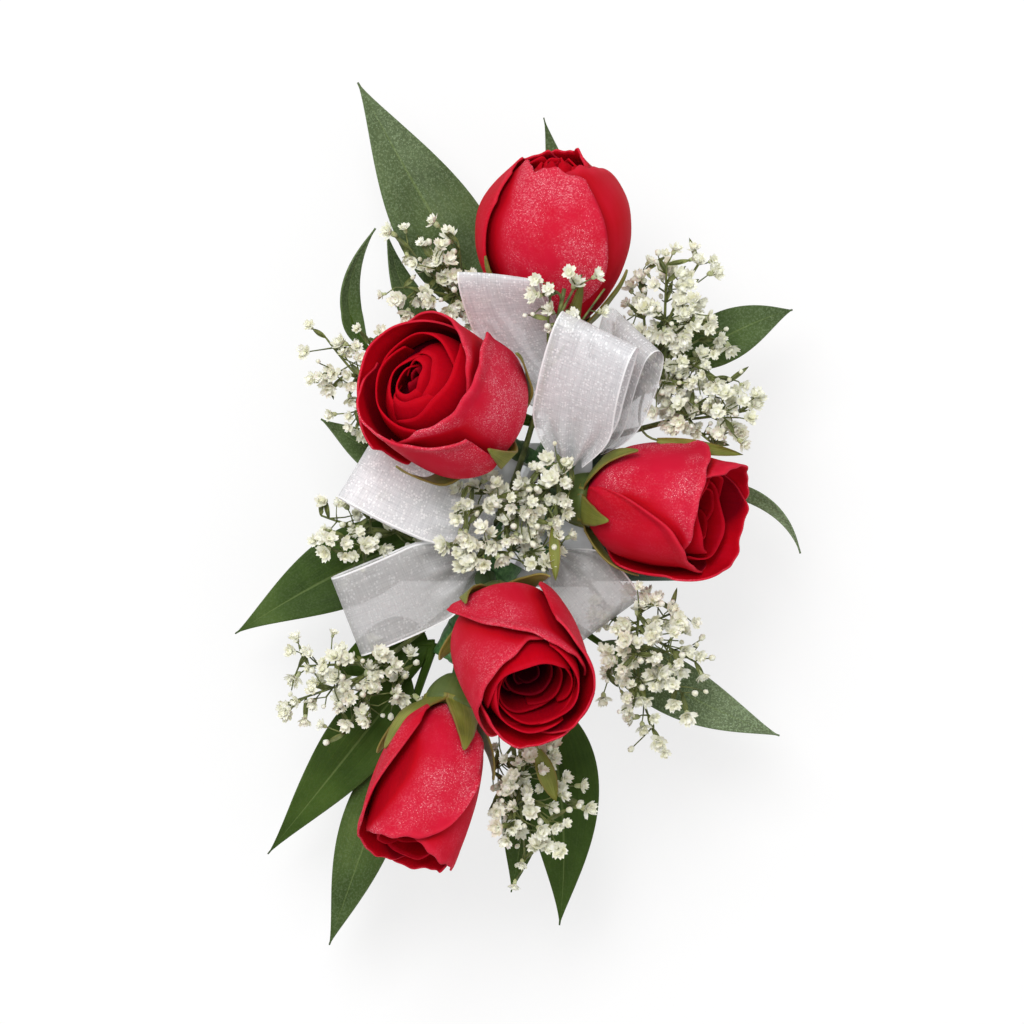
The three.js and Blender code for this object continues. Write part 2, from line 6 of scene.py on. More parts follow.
import bpy
import numpy as np
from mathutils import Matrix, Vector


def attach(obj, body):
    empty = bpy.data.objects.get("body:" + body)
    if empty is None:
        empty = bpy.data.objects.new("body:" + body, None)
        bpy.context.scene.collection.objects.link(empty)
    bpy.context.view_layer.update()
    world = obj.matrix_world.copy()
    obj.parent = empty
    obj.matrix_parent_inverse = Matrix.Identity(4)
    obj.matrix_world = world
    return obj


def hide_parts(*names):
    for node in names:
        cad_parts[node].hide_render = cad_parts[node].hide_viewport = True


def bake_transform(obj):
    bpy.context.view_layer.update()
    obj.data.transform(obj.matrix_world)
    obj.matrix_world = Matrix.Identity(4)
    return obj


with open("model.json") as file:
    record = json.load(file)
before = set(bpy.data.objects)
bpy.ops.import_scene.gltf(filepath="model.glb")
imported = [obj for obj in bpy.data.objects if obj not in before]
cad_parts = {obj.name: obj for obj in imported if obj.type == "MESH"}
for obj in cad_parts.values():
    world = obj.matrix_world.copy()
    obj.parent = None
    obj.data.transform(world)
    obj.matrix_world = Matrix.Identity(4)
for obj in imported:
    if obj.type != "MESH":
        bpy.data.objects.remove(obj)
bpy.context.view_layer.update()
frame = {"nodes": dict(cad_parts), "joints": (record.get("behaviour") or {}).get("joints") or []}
rng = np.random.default_rng(7)
MM = 0.001
JOINTS = {j["name"]: j for j in frame["joints"]}


# Meshes, in millimetres until they are built


def joint_at(name):
    return np.array(JOINTS[name]["pos_m"]) / MM


def unit(v):
    v = np.asarray(v, float)
    return v / np.linalg.norm(v)


def unit_rows(v):
    """Every row of an array, at length 1."""
    return v / np.linalg.norm(v, axis=1)[:, None]


def run_length(points):
    """The way along a line of points, from its start to each of them."""
    return np.concatenate([[0], np.cumsum(np.linalg.norm(np.diff(points, axis=0), axis=1))])


def about_axis(r, angle, z):
    """Points at given distances, angles and heights about the upright axis."""
    return np.stack([r * np.cos(angle), r * np.sin(angle), z], -1)


def catmull(points, t, power=0.0):
    """A Catmull-Rom curve through points, at shares t of its run; power 0.25 is the centripetal kind."""
    p = np.asarray(points, float)
    p = np.vstack([2 * p[0] - p[1], p, 2 * p[-1] - p[-2]])
    n = len(p) - 3
    t = np.clip(np.atleast_1d(np.asarray(t, float)), 0, 1) * n
    i = np.minimum(t.astype(int), n - 1)
    w = (t - i)[:, None]
    a, b, c, d = p[i], p[i + 1], p[i + 2], p[i + 3]
    if power == 0:
        m1, m2 = (c - a) / 2, (d - b) / 2
    else:
        gaps = [np.linalg.norm(y - x, axis=1) ** (2 * power) for x, y in ((a, b), (b, c), (c, d))]
        k = [np.maximum(gap, 1e-9)[:, None] for gap in gaps]
        m1 = ((b - a) / k[0] - (c - a) / (k[0] + k[1]) + (c - b) / k[1]) * k[1]
        m2 = ((c - b) / k[1] - (d - b) / (k[1] + k[2]) + (d - c) / k[2]) * k[1]
    return ((2 * w**3 - 3 * w**2 + 1) * b + (w**3 - 2 * w**2 + w) * m1
            + (3 * w**2 - 2 * w**3) * c + (w**3 - w**2) * m2)


def bezier(a, b, c, t):
    t = np.asarray(t, float)[..., None]
    return (1 - t) ** 2 * np.asarray(a) + 2 * t * (1 - t) * np.asarray(b) + t**2 * np.asarray(c)


def uv_grid(cols, rows):
    return np.meshgrid(np.linspace(0, 1, cols + 1), np.linspace(0, 1, rows + 1))


def grid_part(points, u, v, tone=0.0, mat=0):
    """A sheet from an array of points, rows by columns, with its place on the sheet as UV."""
    rows, cols = u.shape
    i = np.arange(rows * cols).reshape(rows, cols)
    faces = np.stack([i[:-1, :-1], i[:-1, 1:], i[1:, 1:], i[1:, :-1]], -1).reshape(-1, 4)
    tones = np.broadcast_to(np.asarray(tone, float), u.shape).reshape(-1)
    uv = np.stack([u, v], -1).reshape(-1, 2)
    return dict(v=points.reshape(-1, 3), f=faces, uv=uv, tone=tones, mat=mat)


def tube_part(path, radii, sides, tone=0.0, mat=0):
    """A round rod along points, with a radius at each and closed ends."""
    path = np.asarray(path, float)
    radii = np.broadcast_to(np.asarray(radii, float), len(path))
    tangent = unit_rows(np.gradient(path, axis=0))
    first = np.cross(tangent[0], [0.3, 0.2, 1.0])
    normal = unit(first if np.linalg.norm(first) > 1e-6 else np.cross(tangent[0], [1.0, 0, 0]))
    rings = []
    turn = np.linspace(0, 2 * np.pi, sides, endpoint=False)
    for p, d, r in zip(path, tangent, radii):
        normal = unit(normal - d * (normal @ d))
        side = np.cross(d, normal)
        rings.append(p + r * (np.cos(turn)[:, None] * normal + np.sin(turn)[:, None] * side))
    i = np.arange(len(path) * sides).reshape(len(path), sides)
    j = np.roll(i, -1, axis=1)
    faces = np.stack([i[:-1], j[:-1], j[1:], i[1:]], -1).reshape(-1, 4).tolist()
    faces += [i[0][::-1].tolist(), i[-1].tolist()]
    u, v = np.meshgrid(np.linspace(0, 1, sides), np.linspace(0, 1, len(path)))
    return dict(v=np.vstack(rings), f=faces, uv=np.stack([u, v], -1).reshape(-1, 2),
                tone=np.full(len(path) * sides, float(tone)), mat=mat)


def moved(part, matrix, shift):
    out = dict(part)
    out["v"] = part["v"] @ np.asarray(matrix).T + np.asarray(shift)
    return out


def add_object(name, data):
    ob = bpy.data.objects.new(name, data)
    bpy.context.scene.collection.objects.link(ob)
    return ob


def build(name, parts, materials, body, nodes, thick=0.0, lining=0):
    """One object from parts, which rides on a body, where one is named, and stands for CAD nodes."""
    verts, faces, uvs, tones, mats, base = [], [], [], [], [], 0
    for p in parts:
        verts.append(p["v"])
        faces += [[int(k) + base for k in f] for f in p["f"]]
        mats += [p["mat"]] * len(p["f"])
        uvs.append(p["uv"])
        tones.append(p["tone"])
        base += len(p["v"])
    me = bpy.data.meshes.new(name)
    me.from_pydata((np.vstack(verts) * MM).tolist(), [], faces)
    loops = np.empty(len(me.loops), np.int32)
    me.loops.foreach_get("vertex_index", loops)
    corner_uv = np.vstack(uvs)[loops].astype(np.float32).ravel()
    me.uv_layers.new(name="UVMap").data.foreach_set("uv", corner_uv)
    point_tone = np.concatenate(tones).astype(np.float32)
    me.attributes.new("tone", "FLOAT", "POINT").data.foreach_set("value", point_tone)
    me.polygons.foreach_set("material_index", np.asarray(mats, np.int32))
    me.polygons.foreach_set("use_smooth", np.ones(len(faces), bool))
    for m in materials:
        me.materials.append(m)
    me.update()
    ob = add_object(name, me)
    if thick:
        mod = ob.modifiers.new("thickness", "SOLIDIFY")
        mod.thickness = thick * MM
        mod.offset = 0
        mod.material_offset = lining
    if body:
        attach(ob, body)
    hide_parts(*nodes)
    return ob


# Materials


class Nodes:
    """The node tree of a new material or world, with short ways to add nodes and to link them."""

    def __init__(self, name, kind="materials"):
        self.owner = getattr(bpy.data, kind).new(name)
        self.owner.use_nodes = True
        self.tree = self.owner.node_tree

    def add(self, kind, **settings):
        node = self.tree.nodes.new("ShaderNode" + kind)
        for key, value in settings.items():
            setattr(node, key, value)
        return node

    def put(self, socket, value):
        if isinstance(value, bpy.types.NodeSocket):
            self.tree.links.new(value, socket)
        elif isinstance(value, tuple) and len(value) == 3 and socket.type == "RGBA":
            socket.default_value = (*value, 1)
        else:
            socket.default_value = value

    def fill(self, node, **inputs):
        for key, value in inputs.items():
            self.put(node.inputs[key.replace("_", " ")], value)
        return node

    def set(self, **inputs):
        self.fill(self.tree.nodes["Principled BSDF"], **inputs)

    def math(self, op, a, b=0.0, c=0.0):
        node = self.add("Math", operation=op)
        for socket, value in zip(node.inputs, (a, b, c)):
            self.put(socket, value)
        return node.outputs[0]

    def plus(self, a, b):
        return self.math("ADD", a, b)

    def minus(self, a, b):
        return self.math("SUBTRACT", a, b)

    def times(self, a, b):
        return self.math("MULTIPLY", a, b)

    def line(self, value, slope, start):
        return self.math("MULTIPLY_ADD", value, slope, start)

    def step(self, value, low, high):
        node = self.add("MapRange", interpolation_type="SMOOTHSTEP")
        return self.fill(node, Value=value, From_Min=low, From_Max=high).outputs["Result"]

    def mix(self, factor, a, b):
        node = self.add("Mix", data_type="RGBA")
        for socket, value in ((node.inputs[0], factor), (node.inputs[6], a), (node.inputs[7], b)):
            self.put(socket, value)
        return node.outputs[2]

    def ramp(self, factor, *stops):
        node = self.add("ValToRGB")
        for _ in stops[2:]:
            node.color_ramp.elements.new(0.5)
        for element, (at, colour) in zip(node.color_ramp.elements, stops):
            element.position = at
            element.color = (*colour, 1)
        self.put(node.inputs[0], factor)
        return node.outputs[0]

    def coords(self, kind="Object", scale=(1, 1, 1)):
        node = self.add("Mapping")
        self.put(node.inputs["Vector"], self.add("TexCoord").outputs[kind])
        node.inputs["Scale"].default_value = scale
        return node.outputs[0]

    def noise(self, vector, scale, detail=3.0, rough=0.5):
        node = self.add("TexNoise")
        return self.fill(node, Vector=vector, Scale=scale, Detail=detail, Roughness=rough).outputs[0]

    def cells(self, vector, scale):
        """Random cells: a number that is the same all over a cell, and the distance from its middle."""
        node = self.fill(self.add("TexVoronoi"), Vector=vector, Scale=scale)
        parts = self.add("SeparateColor")
        self.put(parts.inputs[0], node.outputs["Color"])
        return parts.outputs[0], node.outputs["Distance"]

    def specks(self, place, frost, share):
        """Glitter: fine bright dots, more of them where the frost is thicker."""
        random, far = self.cells(place, 5200)
        few = self.line(frost, -share, 0.985)
        bright = self.step(self.minus(random, few), 0.0, 0.25)
        return self.times(bright, self.math("LESS_THAN", far, 0.45))

    def tone(self):
        return self.add("Attribute", attribute_name="tone").outputs["Fac"]

    def uv(self):
        parts = self.add("SeparateXYZ")
        self.put(parts.inputs[0], self.add("TexCoord").outputs["UV"])
        return parts.outputs[0], parts.outputs[1]

    def seen(self):
        """1 for rays that show the background itself: straight, off a shiny face or through a clear one."""
        path = self.add("LightPath").outputs
        shown = self.math("MAXIMUM", path["Is Camera Ray"], path["Is Glossy Ray"])
        return self.math("MAXIMUM", shown, path["Is Transmission Ray"])

    def bump(self, height, strength, distance):
        node = self.fill(self.add("Bump"), Height=height, Strength=strength, Distance=distance)
        self.set(Normal=node.outputs[0])


def petal_material(name, inside):
    """Velvety red; the outside is paler, frosted in patches and strewn with fine silver glitter; painted
    shade darkens the inside copy.
    """
    n = Nodes(name)
    place = n.coords()
    v = n.uv()[1]
    tone = n.tone()
    streaks = n.noise(n.coords("UV", (34, 2.2, 1)), 1.0, 3)
    cloud = n.noise(place, 140, 2)
    # Tone deepens the red and clears the frost; it carries painted shade on overlaps, shaded petals and
    # hearts
    shade = n.plus(tone, n.line(cloud, 0.3, -0.15))
    shade = n.plus(shade, n.line(streaks, 0.16, -0.08))
    if inside:
        # Painted shade: the inside faces and the heart are a darker red
        shade = n.plus(shade, 0.22)
    red = n.ramp(shade, (0.0, (0.6, 0.009, 0.036)), (0.35, (0.5, 0.0012, 0.009)),
                 (0.8, (0.2, 0.0, 0.006)), (1.0, (0.06, 0.0, 0.006)))
    # Painted highlight: a paler pink line along the top rim of each petal
    rim_highlight = n.times(n.step(v, 0.95, 1.0), 0.05 if inside else 0.4)
    red = n.mix(rim_highlight, red, (0.76, 0.03, 0.065))
    outside = 0.0 if inside else n.minus(1.0, n.step(tone, 0.02, 0.3))
    frost = n.times(n.step(n.noise(place, 75, 3, 0.6), 0.36, 0.64), outside)
    red = n.mix(n.times(frost, 0.18), red, (0.7, 0.1, 0.165))
    grain = n.times(n.step(n.noise(place, 2500, 2, 0.7), 0.46, 0.66), frost)
    red = n.mix(n.times(grain, 0.36), red, (0.84, 0.25, 0.31))
    speck = n.times(n.specks(place, frost, 0.36), outside)
    n.set(Base_Color=n.mix(n.times(speck, 0.55), red, (0.95, 0.66, 0.7)),
          Roughness=n.line(speck, -0.3, 0.7), Specular_IOR_Level=0.03 if inside else 0.08,
          Subsurface_Weight=0.1, Subsurface_Radius=(1.0, 0.12, 0.1), Subsurface_Scale=0.001)
    n.bump(n.plus(n.times(streaks, 0.6), n.times(speck, 0.5)), 0.3, 0.0002)
    return n.owner


def leaf_material():
    """Dark green with a pale midrib, frosted towards the tip, where the paler colour is partly painted
    sheen.
    """
    n = Nodes("leaf")
    u, v = n.uv()
    place = n.coords()
    across = n.math("ABSOLUTE", n.minus(u, 0.5))
    rib = n.minus(1.0, n.step(across, 0.008, 0.03))
    veins = n.noise(n.coords("UV", (46, 1.3, 1)), 1.0, 2)
    cloud = n.noise(place, 90, 3)
    shade = n.plus(n.times(cloud, 0.7), n.times(veins, 0.3))
    green = n.ramp(shade, (0.3, (0.017, 0.038, 0.003)), (0.55, (0.04, 0.08, 0.008)),
                   (0.8, (0.085, 0.14, 0.022)))
    # Partly glitter frost and partly painted sheen: paler grey-green, more of it towards the tip
    frost = n.times(n.tone(), n.line(n.step(v, 0.2, 0.9), 0.55, 0.45))
    frost_and_sheen = n.times(frost, n.line(cloud, 0.7, 0.2))
    green = n.mix(frost_and_sheen, green, (0.24, 0.28, 0.19))
    green = n.mix(n.times(rib, 0.5), green, (0.15, 0.21, 0.065))
    edge = n.step(across, 0.46, 0.5)
    green = n.mix(n.times(edge, 0.3), green, (0.11, 0.17, 0.05))
    grain = n.times(n.step(n.noise(place, 2300, 2, 0.7), 0.44, 0.66), frost)
    green = n.mix(n.times(grain, 0.75), green, (0.3, 0.4, 0.22))
    speck = n.specks(place, frost, 0.3)
    n.set(Base_Color=n.mix(n.times(speck, 0.55), green, (0.5, 0.62, 0.44)),
          Roughness=n.line(veins, 0.25, 0.32), Specular_IOR_Level=0.07)
    n.bump(n.plus(n.times(veins, 0.5), n.times(rib, -0.8)), 0.35, 0.0003)
    return n.owner


def calyx_material():
    """Olive green with rusty edges, darker where it is taped, and darkened on the hip by painted shade."""
    n = Nodes("calyx")
    place = n.coords()
    u = n.uv()[0]
    tone = n.tone()
    fibres = n.noise(n.coords("UV", (24, 2, 1)), 1.0, 3)
    shade = n.plus(n.times(n.noise(place, 160, 2), 0.6), n.times(fibres, 0.4))
    green = n.ramp(shade, (0.25, (0.085, 0.1, 0.012)), (0.5, (0.19, 0.21, 0.03)),
                   (0.75, (0.35, 0.36, 0.085)))
    # Tone: painted shade on the hip, and the darker green of the tape on the stem
    green = n.mix(tone, green, (0.05, 0.095, 0.024))
    edge = n.step(n.math("ABSOLUTE", n.minus(u, 0.5)), 0.34, 0.5)
    rust = n.times(n.times(edge, 0.5), n.minus(1.0, tone))
    n.set(Base_Color=n.mix(rust, green, (0.23, 0.12, 0.036)), Roughness=0.5, Specular_IOR_Level=0.35,
          Subsurface_Weight=0.08, Subsurface_Radius=(0.4, 1.0, 0.1), Subsurface_Scale=0.0008)
    n.bump(fibres, 0.4, 0.0003)
    return n.owner


def ribbon_material():
    """Sheer woven ribbon: fine threads both ways, silver glitter, a close-woven edge and painted shade on
    sheerer loops.
    """
    n = Nodes("ribbon")
    u = n.uv()[0]
    place = n.coords()
    edge = n.step(n.math("ABSOLUTE", n.minus(u, 0.5)), 0.468, 0.484)
    weft = n.noise(n.coords("UV", (3, 190, 1)), 1.0, 2, 0.7)
    warp = n.noise(n.coords("UV", (64, 4, 1)), 1.0, 2, 0.7)
    threads = n.times(n.plus(weft, warp), 0.5)
    random, far = n.cells(place, 2100)
    silver = n.times(n.math("GREATER_THAN", random, 0.72), n.math("LESS_THAN", far, 0.5))
    sheer_and_shaded = n.tone()
    grey = n.ramp(threads, (0.36, (0.72, 0.73, 0.76)), (0.5, (0.84, 0.845, 0.87)),
                  (0.66, (0.92, 0.922, 0.94)))
    # Painted shade: sheerer loops are mixed towards dark grey
    grey = n.mix(n.times(sheer_and_shaded, 0.5), grey, (0.36, 0.35, 0.34))
    gleam = n.times(silver, n.line(sheer_and_shaded, -0.4, 0.6))
    colour = n.mix(gleam, grey, (0.95, 0.952, 0.96))
    colour = n.mix(edge, colour, (0.93, 0.932, 0.94))
    cover = n.line(threads, 0.6, n.line(sheer_and_shaded, -0.05, 0.38))
    cover = n.plus(cover, n.times(silver, 0.18))
    cover = n.math("MAXIMUM", cover, n.times(edge, 0.96))
    n.set(Base_Color=colour, Roughness=0.42, Specular_IOR_Level=0.4, Sheen_Weight=0.15, Alpha=cover)
    n.bump(n.plus(threads, n.times(silver, 0.4)), 0.35, 0.0002)
    return n.owner


def floret_material():
    """Creamy white, green towards the cup."""
    n = Nodes("floret")
    place = n.coords()
    tone = n.tone()
    spots = n.noise(place, 900, 2)
    white = n.ramp(spots, (0.3, (0.72, 0.71, 0.5)), (0.5, (0.88, 0.88, 0.75)), (0.7, (0.96, 0.96, 0.9)))
    white = n.mix(n.times(n.step(tone, 0.4, 1.0), 0.75), white, (0.3, 0.35, 0.09))
    n.set(Base_Color=white, Roughness=0.7, Subsurface_Weight=0.2, Subsurface_Radius=(1.0, 1.0, 0.8),
          Subsurface_Scale=0.0006)
    n.bump(n.noise(place, 2600, 2), 0.4, 0.0001)
    return n.owner


def twig_material():
    n = Nodes("twig")
    shade = n.noise(n.coords(), 500, 3)
    olive = n.ramp(shade, (0.3, (0.045, 0.06, 0.012)), (0.55, (0.12, 0.145, 0.032)),
                   (0.75, (0.25, 0.28, 0.08)))
    n.set(Base_Color=olive, Roughness=0.6)
    n.bump(shade, 0.3, 0.0001)
    return n.owner


def tape_material():
    """Green crepe, wound round with overlapping turns."""
    n = Nodes("floral_tape")
    u, v = n.uv()
    wind = n.math("FRACT", n.line(v, 11.0, u))
    crepe = n.noise(n.coords(), 1400, 3)
    seam = n.minus(1.0, n.step(n.math("ABSOLUTE", n.minus(wind, 0.5)), 0.0, 0.06))
    green = n.ramp(crepe, (0.3, (0.03, 0.09, 0.022)), (0.5, (0.055, 0.15, 0.04)),
                   (0.75, (0.11, 0.24, 0.075)))
    n.set(Base_Color=n.mix(n.times(seam, 0.55), green, (0.018, 0.055, 0.014)),
          Roughness=n.line(crepe, 0.3, 0.4), Specular_IOR_Level=0.4)
    n.bump(n.minus(crepe, n.times(seam, 0.9)), 0.6, 0.0003)
    return n.owner


def elastic_material():
    """Dark green, with cords along the run and threads across."""
    n = Nodes("elastic")
    u = n.uv()[0]
    ribs = n.math("SINE", n.times(u, 2 * math.pi * 22))
    threads = n.noise(n.coords("UV", (60, 900, 1)), 1.0, 2, 0.7)
    shade = n.plus(n.line(ribs, 0.16, 0.3), n.times(threads, 0.4))
    green = n.ramp(shade, (0.2, (0.01, 0.027, 0.013)), (0.5, (0.02, 0.051, 0.025)),
                   (0.8, (0.04, 0.085, 0.045)))
    n.set(Base_Color=green, Roughness=0.75, Sheen_Weight=0.2)
    n.bump(n.plus(n.times(ribs, 0.5), threads), 0.5, 0.0003)
    return n.owner


def steel_material():
    n = Nodes("clip_steel")
    lines = n.noise(n.coords("Object", (900, 40, 900)), 1.0, 3)
    marks = n.noise(n.coords(), 240, 3)
    n.set(Base_Color=n.ramp(marks, (0.3, (0.46, 0.47, 0.48)), (0.7, (0.6, 0.61, 0.63))), Metallic=1.0,
          Roughness=n.line(lines, 0.25, 0.22))
    n.bump(lines, 0.15, 0.0001)
    return n.owner


# The inside copy is the same red, darkened by painted shade and without frost
PETAL, PETAL_INSIDE_SHADED = petal_material("rose_petal", False), petal_material("rose_petal_inside_shaded", True)
LEAF, CALYX, RIBBON, FLORET = leaf_material(), calyx_material(), ribbon_material(), floret_material()
TWIG, TAPE, ELASTIC, STEEL = twig_material(), tape_material(), elastic_material(), steel_material()


# Roses

HIP_LENGTH, HIP_RADIUS, STEM, KNUCKLE = 6.5, 5.0, 1.5, 1.9
# Degrees that an outer petal spans, how much further out it lies a quarter turn on, and how deep it starts
SPAN, LAYER = 150.0, 1.3
DEEPEST = SPAN / 90 * LAYER
# Where an outer petal is highest, across its width, and how far its tucked side falls
PEAK, TUCKED_FALL = -0.25, 0.12
PETAL_THICK, HEART_THICK, CALYX_THICK, LEAF_THICK = 0.4, 0.3, 0.35, 0.35
# at, az, el, roll: the bud's foot, the way its axis points, in degrees, and its turn about that axis
# stem, height, radius: length of the stem, height and radius of the bud
# full, open, close: how round the bud is, how far its mouth opens and how far the petals draw in at the top
# hand: which way round the petals overlap
# first, second: height of those two petals, as shares of the bud's
# fall, drop: how far the free side falls, on the first petal and on the others
# round: how late it falls, on the first petal and on the others
# reach, curl: how wide the first petal's free side is, and how far the rims roll out
# bare: how little frost lies on each petal, and how much painted shade darkens its red
# heart, slit: the kind of heart, how far that is pressed flat and which way
# sepal, sepal_turn, leafy, reflex: length, turn and width of the sepals, and how far they bend out
# stray: how far the first sepal has turned aside
ROSES = [
    dict(name="rose_top", at=(4.5, 35.6, 43.5), az=90, el=20, roll=-129, stem=4,
         height=34, radius=15.2, full=0.1, open=-0.15, close=0.4, hand=1, first=1.0, second=0.97,
         fall=0.06, drop=0.16, round=(6, 5), reach=1.0, curl=0.5, bare=(0.08, 0.26, 0.2, 0.24),
         heart="dome", slit=(0.3, 0), sepal=16, sepal_turn=0, leafy=0.8, reflex=1.0, stray=-34),
    dict(name="rose_left", at=(-8.4, 16.5, 51), az=146, el=50, roll=56, stem=5.5,
         height=27, radius=14.2, full=1, open=0.6, close=0.0, hand=1, first=0.97, second=0.97,
         fall=0.3, drop=0.24, round=(2.5, 3), reach=1.0, curl=1.0, bare=(0.12, 0.16, 0.08, 0.05),
         heart="dome", slit=(0.85, 62), sepal=16, sepal_turn=26, leafy=1.1, reflex=1.4, stray=0),
    dict(name="rose_right", at=(11.7, 2.6, 46), az=-6, el=18, roll=234, stem=3.5,
         height=29, radius=12.2, full=0.8, open=0.25, close=0.0, hand=-1, first=0.81, second=0.86,
         fall=0.82, drop=0.3, round=(5, 6), reach=1.0, curl=1.3, bare=(0.2, 0.0, 0.1, 0.14),
         heart="cup", slit=(0.3, 20), sepal=9, sepal_turn=48, leafy=1.2, reflex=1.0, stray=0),
    dict(name="rose_centre", at=(-5.8, -18.4, 53), az=-66, el=52, roll=86, stem=4.5,
         height=29, radius=12.8, full=1, open=0.5, close=0.0, hand=1, first=0.92, second=0.97,
         fall=0.92, drop=0.24, round=(2.7, 3), reach=1.0, curl=0.8, bare=(0.1, 0.14, 0.1, 0.18),
         heart="funnel", slit=(0.1, 40), sepal=8, sepal_turn=60, leafy=1.0, reflex=1.0, stray=0),
    dict(name="rose_bottom", at=(-15.3, -36.9, 45.5), az=-107, el=20, roll=185, stem=3.5,
         height=31, radius=10.8, full=0.7, open=0.3, close=0.0, hand=-1, first=0.98, second=0.97,
         fall=0.42, drop=0.5, round=(5, 7), reach=1.18, curl=0.9, bare=(0.16, 0.05, 0.14, 0.14),
         heart="roll", slit=(0.4, 10), sepal=12, sepal_turn=50, leafy=1.5, reflex=1.0, stray=0),
]
# For each ring of a heart, from the outside: petals, degrees that one spans, share of the room, how wide the
# rim is beside that, height and depth of colour, which is painted shade that deepens towards the middle
HEARTS = {
    "dome": [(3, 158, 0.97, 0.94, 0.965, 0.12), (3, 176, 0.88, 0.6, 0.965, 0.14),
             (2, 236, 0.7, 0.52, 0.985, 0.16), (2, 236, 0.44, 0.4, 0.95, 0.5)],
    "funnel": [(3, 168, 0.97, 1.02, 0.97, 0.04), (3, 174, 0.82, 1.06, 0.9, 0.22),
               (3, 178, 0.64, 1.1, 0.82, 0.42), (2, 225, 0.43, 1.12, 0.75, 0.66),
               (2, 225, 0.24, 1.1, 0.7, 0.9)],
    "roll": [(3, 164, 0.95, 0.96, 0.92, 0.06), (3, 170, 0.74, 0.82, 0.86, 0.24),
             (2, 225, 0.5, 0.75, 0.81, 0.45), (2, 232, 0.25, 0.9, 0.78, 0.65)],
    "cup": [(3, 170, 0.95, 0.98, 0.84, 0.06), (3, 172, 0.72, 0.9, 0.77, 0.24),
            (2, 225, 0.46, 0.85, 0.71, 0.45)],
}
# How high the floor of a heart lies, as a share of the bud's height
FLOORS = {"dome": 0.72, "funnel": 0.55, "roll": 0.6, "cup": 0.5}


def smooth(x, low, high):
    """0 up to low, 1 from high on, with an even rise between."""
    t = np.clip((x - low) / (high - low), 0, 1)
    return t * t * (3 - 2 * t)


def rose_place(rose):
    """The turn and shift from a bud that stands on its base to its place in the spray."""
    level, az = math.cos(math.radians(rose["el"])), math.radians(rose["az"])
    axis = np.array([level * math.cos(az), level * math.sin(az), math.sin(math.radians(rose["el"]))])
    v = np.cross([0, 0, 1], axis)
    k = np.array([[0, -v[2], v[1]], [v[2], 0, -v[0]], [-v[1], v[0], 0]])
    lean = np.eye(3) + k + k @ k / (1 + axis[2])
    c, s = math.cos(math.radians(rose["roll"])), math.sin(math.radians(rose["roll"]))
    return lean @ np.array([[c, -s, 0], [s, c, 0], [0, 0, 1]]), np.array(rose["at"], float)


def bud_radius(rose):
    """How far the bud's side stands from its axis, up its height."""
    f, o = rose["full"], rose["open"]
    shares = [(0.28 + 0.16 * f, 0), (0.5 + 0.24 * f, 0.1), (0.68 + 0.23 * f, 0.2), (0.88 + 0.1 * f, 0.36),
              (1, 0.56), (0.94 + 0.05 * o, 0.82), (0.72 + 0.26 * o, 1)]
    curve = catmull(shares, np.linspace(0, 1, 200))
    return lambda share: (rose["radius"] * np.interp(share, curve[:, 1], curve[:, 0])
                          * (1 - rose["close"] * smooth(share, 0.6, 1.05) ** 1.6))


def petal_rule(rose, n):
    """Height, fall, lateness of the fall and reach of the free side, for one of the four outer petals."""
    if n == 0:
        return rose["height"] * rose["first"], rose["fall"], rose["round"][0], rose["reach"]
    share = rose["second"] if n == 1 else 1 - 0.03 * (n % 2)
    return rose["height"] * share, rose["drop"], rose["round"][1], 1.0


def outer_petal(rose, radius, n):
    """One of the four outer petals: one side lies under a neighbour, the other is free and falls away."""
    u, v = uv_grid(60, 48)
    height, drop, late, reach = petal_rule(rose, n)
    spread = u * (1.32 if n == 1 else 1.06) - (0.82 if n == 1 else 0.56)
    spread = np.where(spread > 0, spread * reach, spread)
    narrow = 0.42 + 0.58 * smooth(v, 0, 0.5)
    local = spread * SPAN * narrow
    free = spread > PEAK
    tucked = np.minimum((spread - PEAK) / (-0.5 - PEAK), 1.1)
    past = np.where(free, (spread - PEAK) / (0.5 - PEAK), tucked)
    ragged = 0.014 * np.sin(9 * u + 2.1 * n) + 0.011 * np.sin(19 * u + 3 * n) + 0.006 * np.sin(41 * u + n)
    lost = np.where(free, drop, TUCKED_FALL) * past ** np.where(free, late, 1.7)
    top = height * (1 - lost + ragged * v**4)
    z = 0.4 + v**1.2 * (np.maximum(top, 0.08 * height) - 0.4)
    uneven = 0.7 + 0.6 * np.sin(6 * u + 1.3 * n) ** 2
    roll = rose["curl"] * smooth(v, 0.82, 1.0) ** 1.5 * uneven * top / rose["height"]
    lift = (1.9 if n == 0 else 0.9) * smooth(spread, 0.28, 0.5) * smooth(v, 0.15, 0.6)
    r = radius(z / rose["height"]) - DEEPEST + (local + SPAN / 2) / 90 * LAYER + roll + lift
    r = r + 0.35 * v * np.sin(7 * u + 1.7 * n) * np.sin(5 * v + n)
    r = r - 0.3 * smooth(-spread, 0.3, 0.5) * (1 - v)
    angle = rose["hand"] * np.radians(n * 90 + local)
    points = about_axis(r, angle, z - 0.4 * roll)
    # Painted shade: the petal darkens just beyond the free edge of the neighbour that lies over it
    over_height, over_drop, over_late, over_reach = petal_rule(rose, (n - 1) % 4)
    edge = PEAK + 0.75 * np.clip((1 - z / over_height) / over_drop, 0, 1) ** (1 / over_late)
    beyond = local / SPAN + 90 / SPAN - np.where(edge > 0, edge * over_reach, edge) * narrow
    under = 0.42 * np.exp(-np.maximum(beyond, 0) / 0.06) * (z < over_height)
    return facing(grid_part(points, u, v, tone=rose["bare"][n] + under), rose)


def facing(part, rose):
    """Faces turned over for a bud that winds the other way, so that a petal's outside stays outside."""
    if rose["hand"] < 0:
        part["f"] = part["f"][:, ::-1]
    return part


